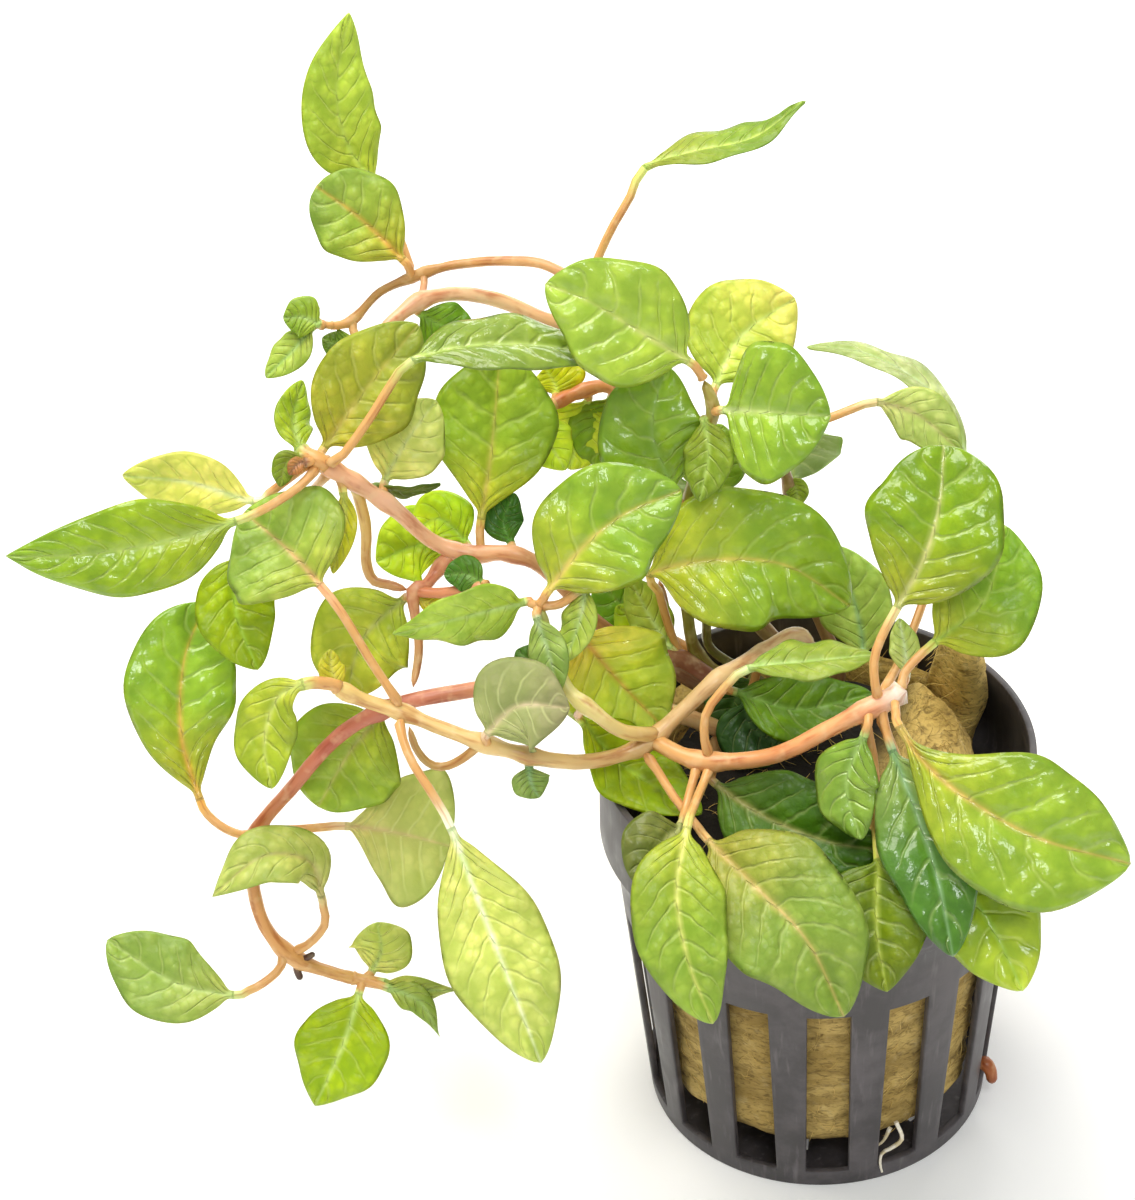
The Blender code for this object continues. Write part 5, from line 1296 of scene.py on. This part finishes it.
def looseFibres():
    plan = fibrePlan
    first, last = plan["woolBetween"]
    rng = random.Random("fibres")
    paths = []
    for _ in range(plan["count"]):
        angle = rng.uniform(0, 2 * math.pi)
        if rng.random() < plan["onTop"]:
            reach = math.sqrt(rng.random()) * plan["reach"]
            if reach > plan["bare"] and not first < angle < last:  # no wool beside the plug there
                reach = plan["bare"] * 2 - reach
            start = Vector((math.cos(angle) * reach, math.sin(angle) * reach, woolPlan["top"] + 0.1))
            onWrap = reach > plan["wrapFrom"] and angle < 3
            start.z += wrapRise(angle, start.z) if onWrap else coreRise(start.x, start.y, start.z)
            out = Vector((0, 0, 1))
        else:                    # in the slots
            height = rng.uniform(plan["low"], plan["high"])
            reach = innerAt(height) - woolPlan["gap"] - 0.1
            start = Vector((math.cos(angle) * reach, math.sin(angle) * reach, height))
            out = Vector((math.cos(angle), math.sin(angle), 0))
        way = Vector((rng.gauss(0, 1), rng.gauss(0, 1), rng.gauss(0, 1)))
        way = (way - out * way.dot(out)).normalized()
        bend = out.cross(way) * rng.uniform(-plan["bow"], plan["bow"])
        length = rng.uniform(*plan["length"])
        rise = rng.uniform(*plan["rise"])
        path = []
        for n in range(plan["points"]):
            t = n / (plan["points"] - 1)
            path.append((start + way * length * t + bend * length * t * t
                         + out * (rise * math.sin(math.pi * t * 0.8))) * mm)
        paths.append((path, plan["radii"]))
    strands("wool_fibres", paths, rockWool, plan["thick"])


looseFibres()
print("wool built")


# roots
def rootMaterial():
    # young roots: white, damp and slightly see-through; drawn as solid skin
    material, tree = newMaterial("Young white root")
    place = addNode(tree, "ShaderNodeTexCoord", out="Object")
    patch = addNode(tree, "ShaderNodeTexNoise", {"Vector": place, "Scale": 1 / (1.5 * mm), "Detail": 2.0})
    share = addNode(tree, "ShaderNodeMapRange", {0: patch, 1: 0.4, 2: 0.6}, **smooth)
    colour = addNode(tree, "ShaderNodeMix", {0: share, 6: rgba("#f2ead6"), 7: rgba("#d8c8a0")}, **colours)
    bump = addNode(tree, "ShaderNodeBump", {"Height": patch, "Strength": 0.4, "Distance": 0.1 * mm})
    shader = addNode(tree, "ShaderNodeBsdfPrincipled",
                     {"Base Color": colour, "Roughness": 0.45, "IOR": 1.4, "Normal": bump})
    addNode(tree, "ShaderNodeOutputMaterial", {0: shader})
    return material


rootPlan = dict(
    thick=0.7, points=14,                    # mm
    lines=[[(896, 1122, -18.6), (902, 1138, -19.0), (893, 1147, -19.4), (882, 1153, -19.6),
            (880, 1163, -19.9), (882, 1172, -20.2)],
           [(890, 1128, -18.6), (884, 1140, -18.8), (877, 1146, -19.0)]],
)
stubPlan = dict(
    tone=("#a8603a", "#c0703c", "#8a4a2c"), thick=(2.0, 1.2), points=12, columns=10,
    route=[(981, 1063, -5), (986, 1064, -5.4), (991, 1072, -6), (992, 1084, -6.5)],
)
rootRadii = [1 - 0.5 * n / (rootPlan["points"] - 1) for n in range(rootPlan["points"])]
strands("root_white", [(smoothPath([spot(*point) for point in line], rootPlan["points"]), rootRadii)
                       for line in rootPlan["lines"]], rootMaterial(), rootPlan["thick"])
stemTube("root_stub_bark", smoothPath([spot(*point) for point in stubPlan["route"]], stubPlan["points"]),
         stubPlan["thick"], stubPlan["tone"], ["root_stub"], columns=stubPlan["columns"])
print("roots built")


# floor, lights and world
def buildStage():
    shape = bmesh.new()
    bmesh.ops.create_grid(shape, x_segments=1, y_segments=1, size=3.0)
    mesh = bpy.data.meshes.new("Pale table")
    shape.to_mesh(mesh)
    shape.free()
    table = bpy.data.objects.new("Pale table", mesh)
    bpy.context.scene.collection.objects.link(table)
    # white opal acrylic lit a little from below, which keeps the shadows faint
    material, tree = newMaterial("White opal acrylic")
    shader = addNode(tree, "ShaderNodeBsdfPrincipled", {
        "Base Color": rgba(stagePlan["floor"]), "Roughness": 0.8,
        "Emission Color": rgba("#ffffff"), "Emission Strength": stagePlan["glow"]})
    addNode(tree, "ShaderNodeOutputMaterial", {0: shader})
    mesh.materials.append(material)
    for name, lamp in stagePlan["lamps"].items():
        light = bpy.data.lights.new(name, "AREA")
        light.shape = "RECTANGLE"
        light.size, light.size_y = lamp["size"]
        light.energy = lamp["power"]
        light.color = linear(lamp["colour"])
        holder = bpy.data.objects.new(name, light)
        holder.location = lamp["place"]
        aim = Vector((-0.02, 0.0, 0.06)) - holder.location
        holder.rotation_euler = aim.to_track_quat("-Z", "Y").to_euler()
        bpy.context.scene.collection.objects.link(holder)
    world = bpy.data.worlds.new("Pale room")
    world.use_nodes = True
    world.node_tree.nodes["Background"].inputs[0].default_value = rgba(stagePlan["world"])
    world.node_tree.nodes["Background"].inputs[1].default_value = stagePlan["worldPower"]
    bpy.context.scene.world = world


stagePlan = dict(
    floor="#f8f8f6", glow=0.1, world="#ffffff", worldPower=0.47,
    lamps={
        "Overhead softbox": dict(place=(-0.25, 0.15, 0.95), size=(0.6, 0.6), power=9.4, colour="#fffaf2"),
        "Back softbox": dict(place=(0.25, 0.9, 0.55), size=(0.7, 0.35), power=3.6, colour="#ffffff"),
        "Window": dict(place=(0.12, -0.55, 0.95), size=(0.22, 0.3), power=3.2, colour="#fbfdff"),
    },
)
buildStage()
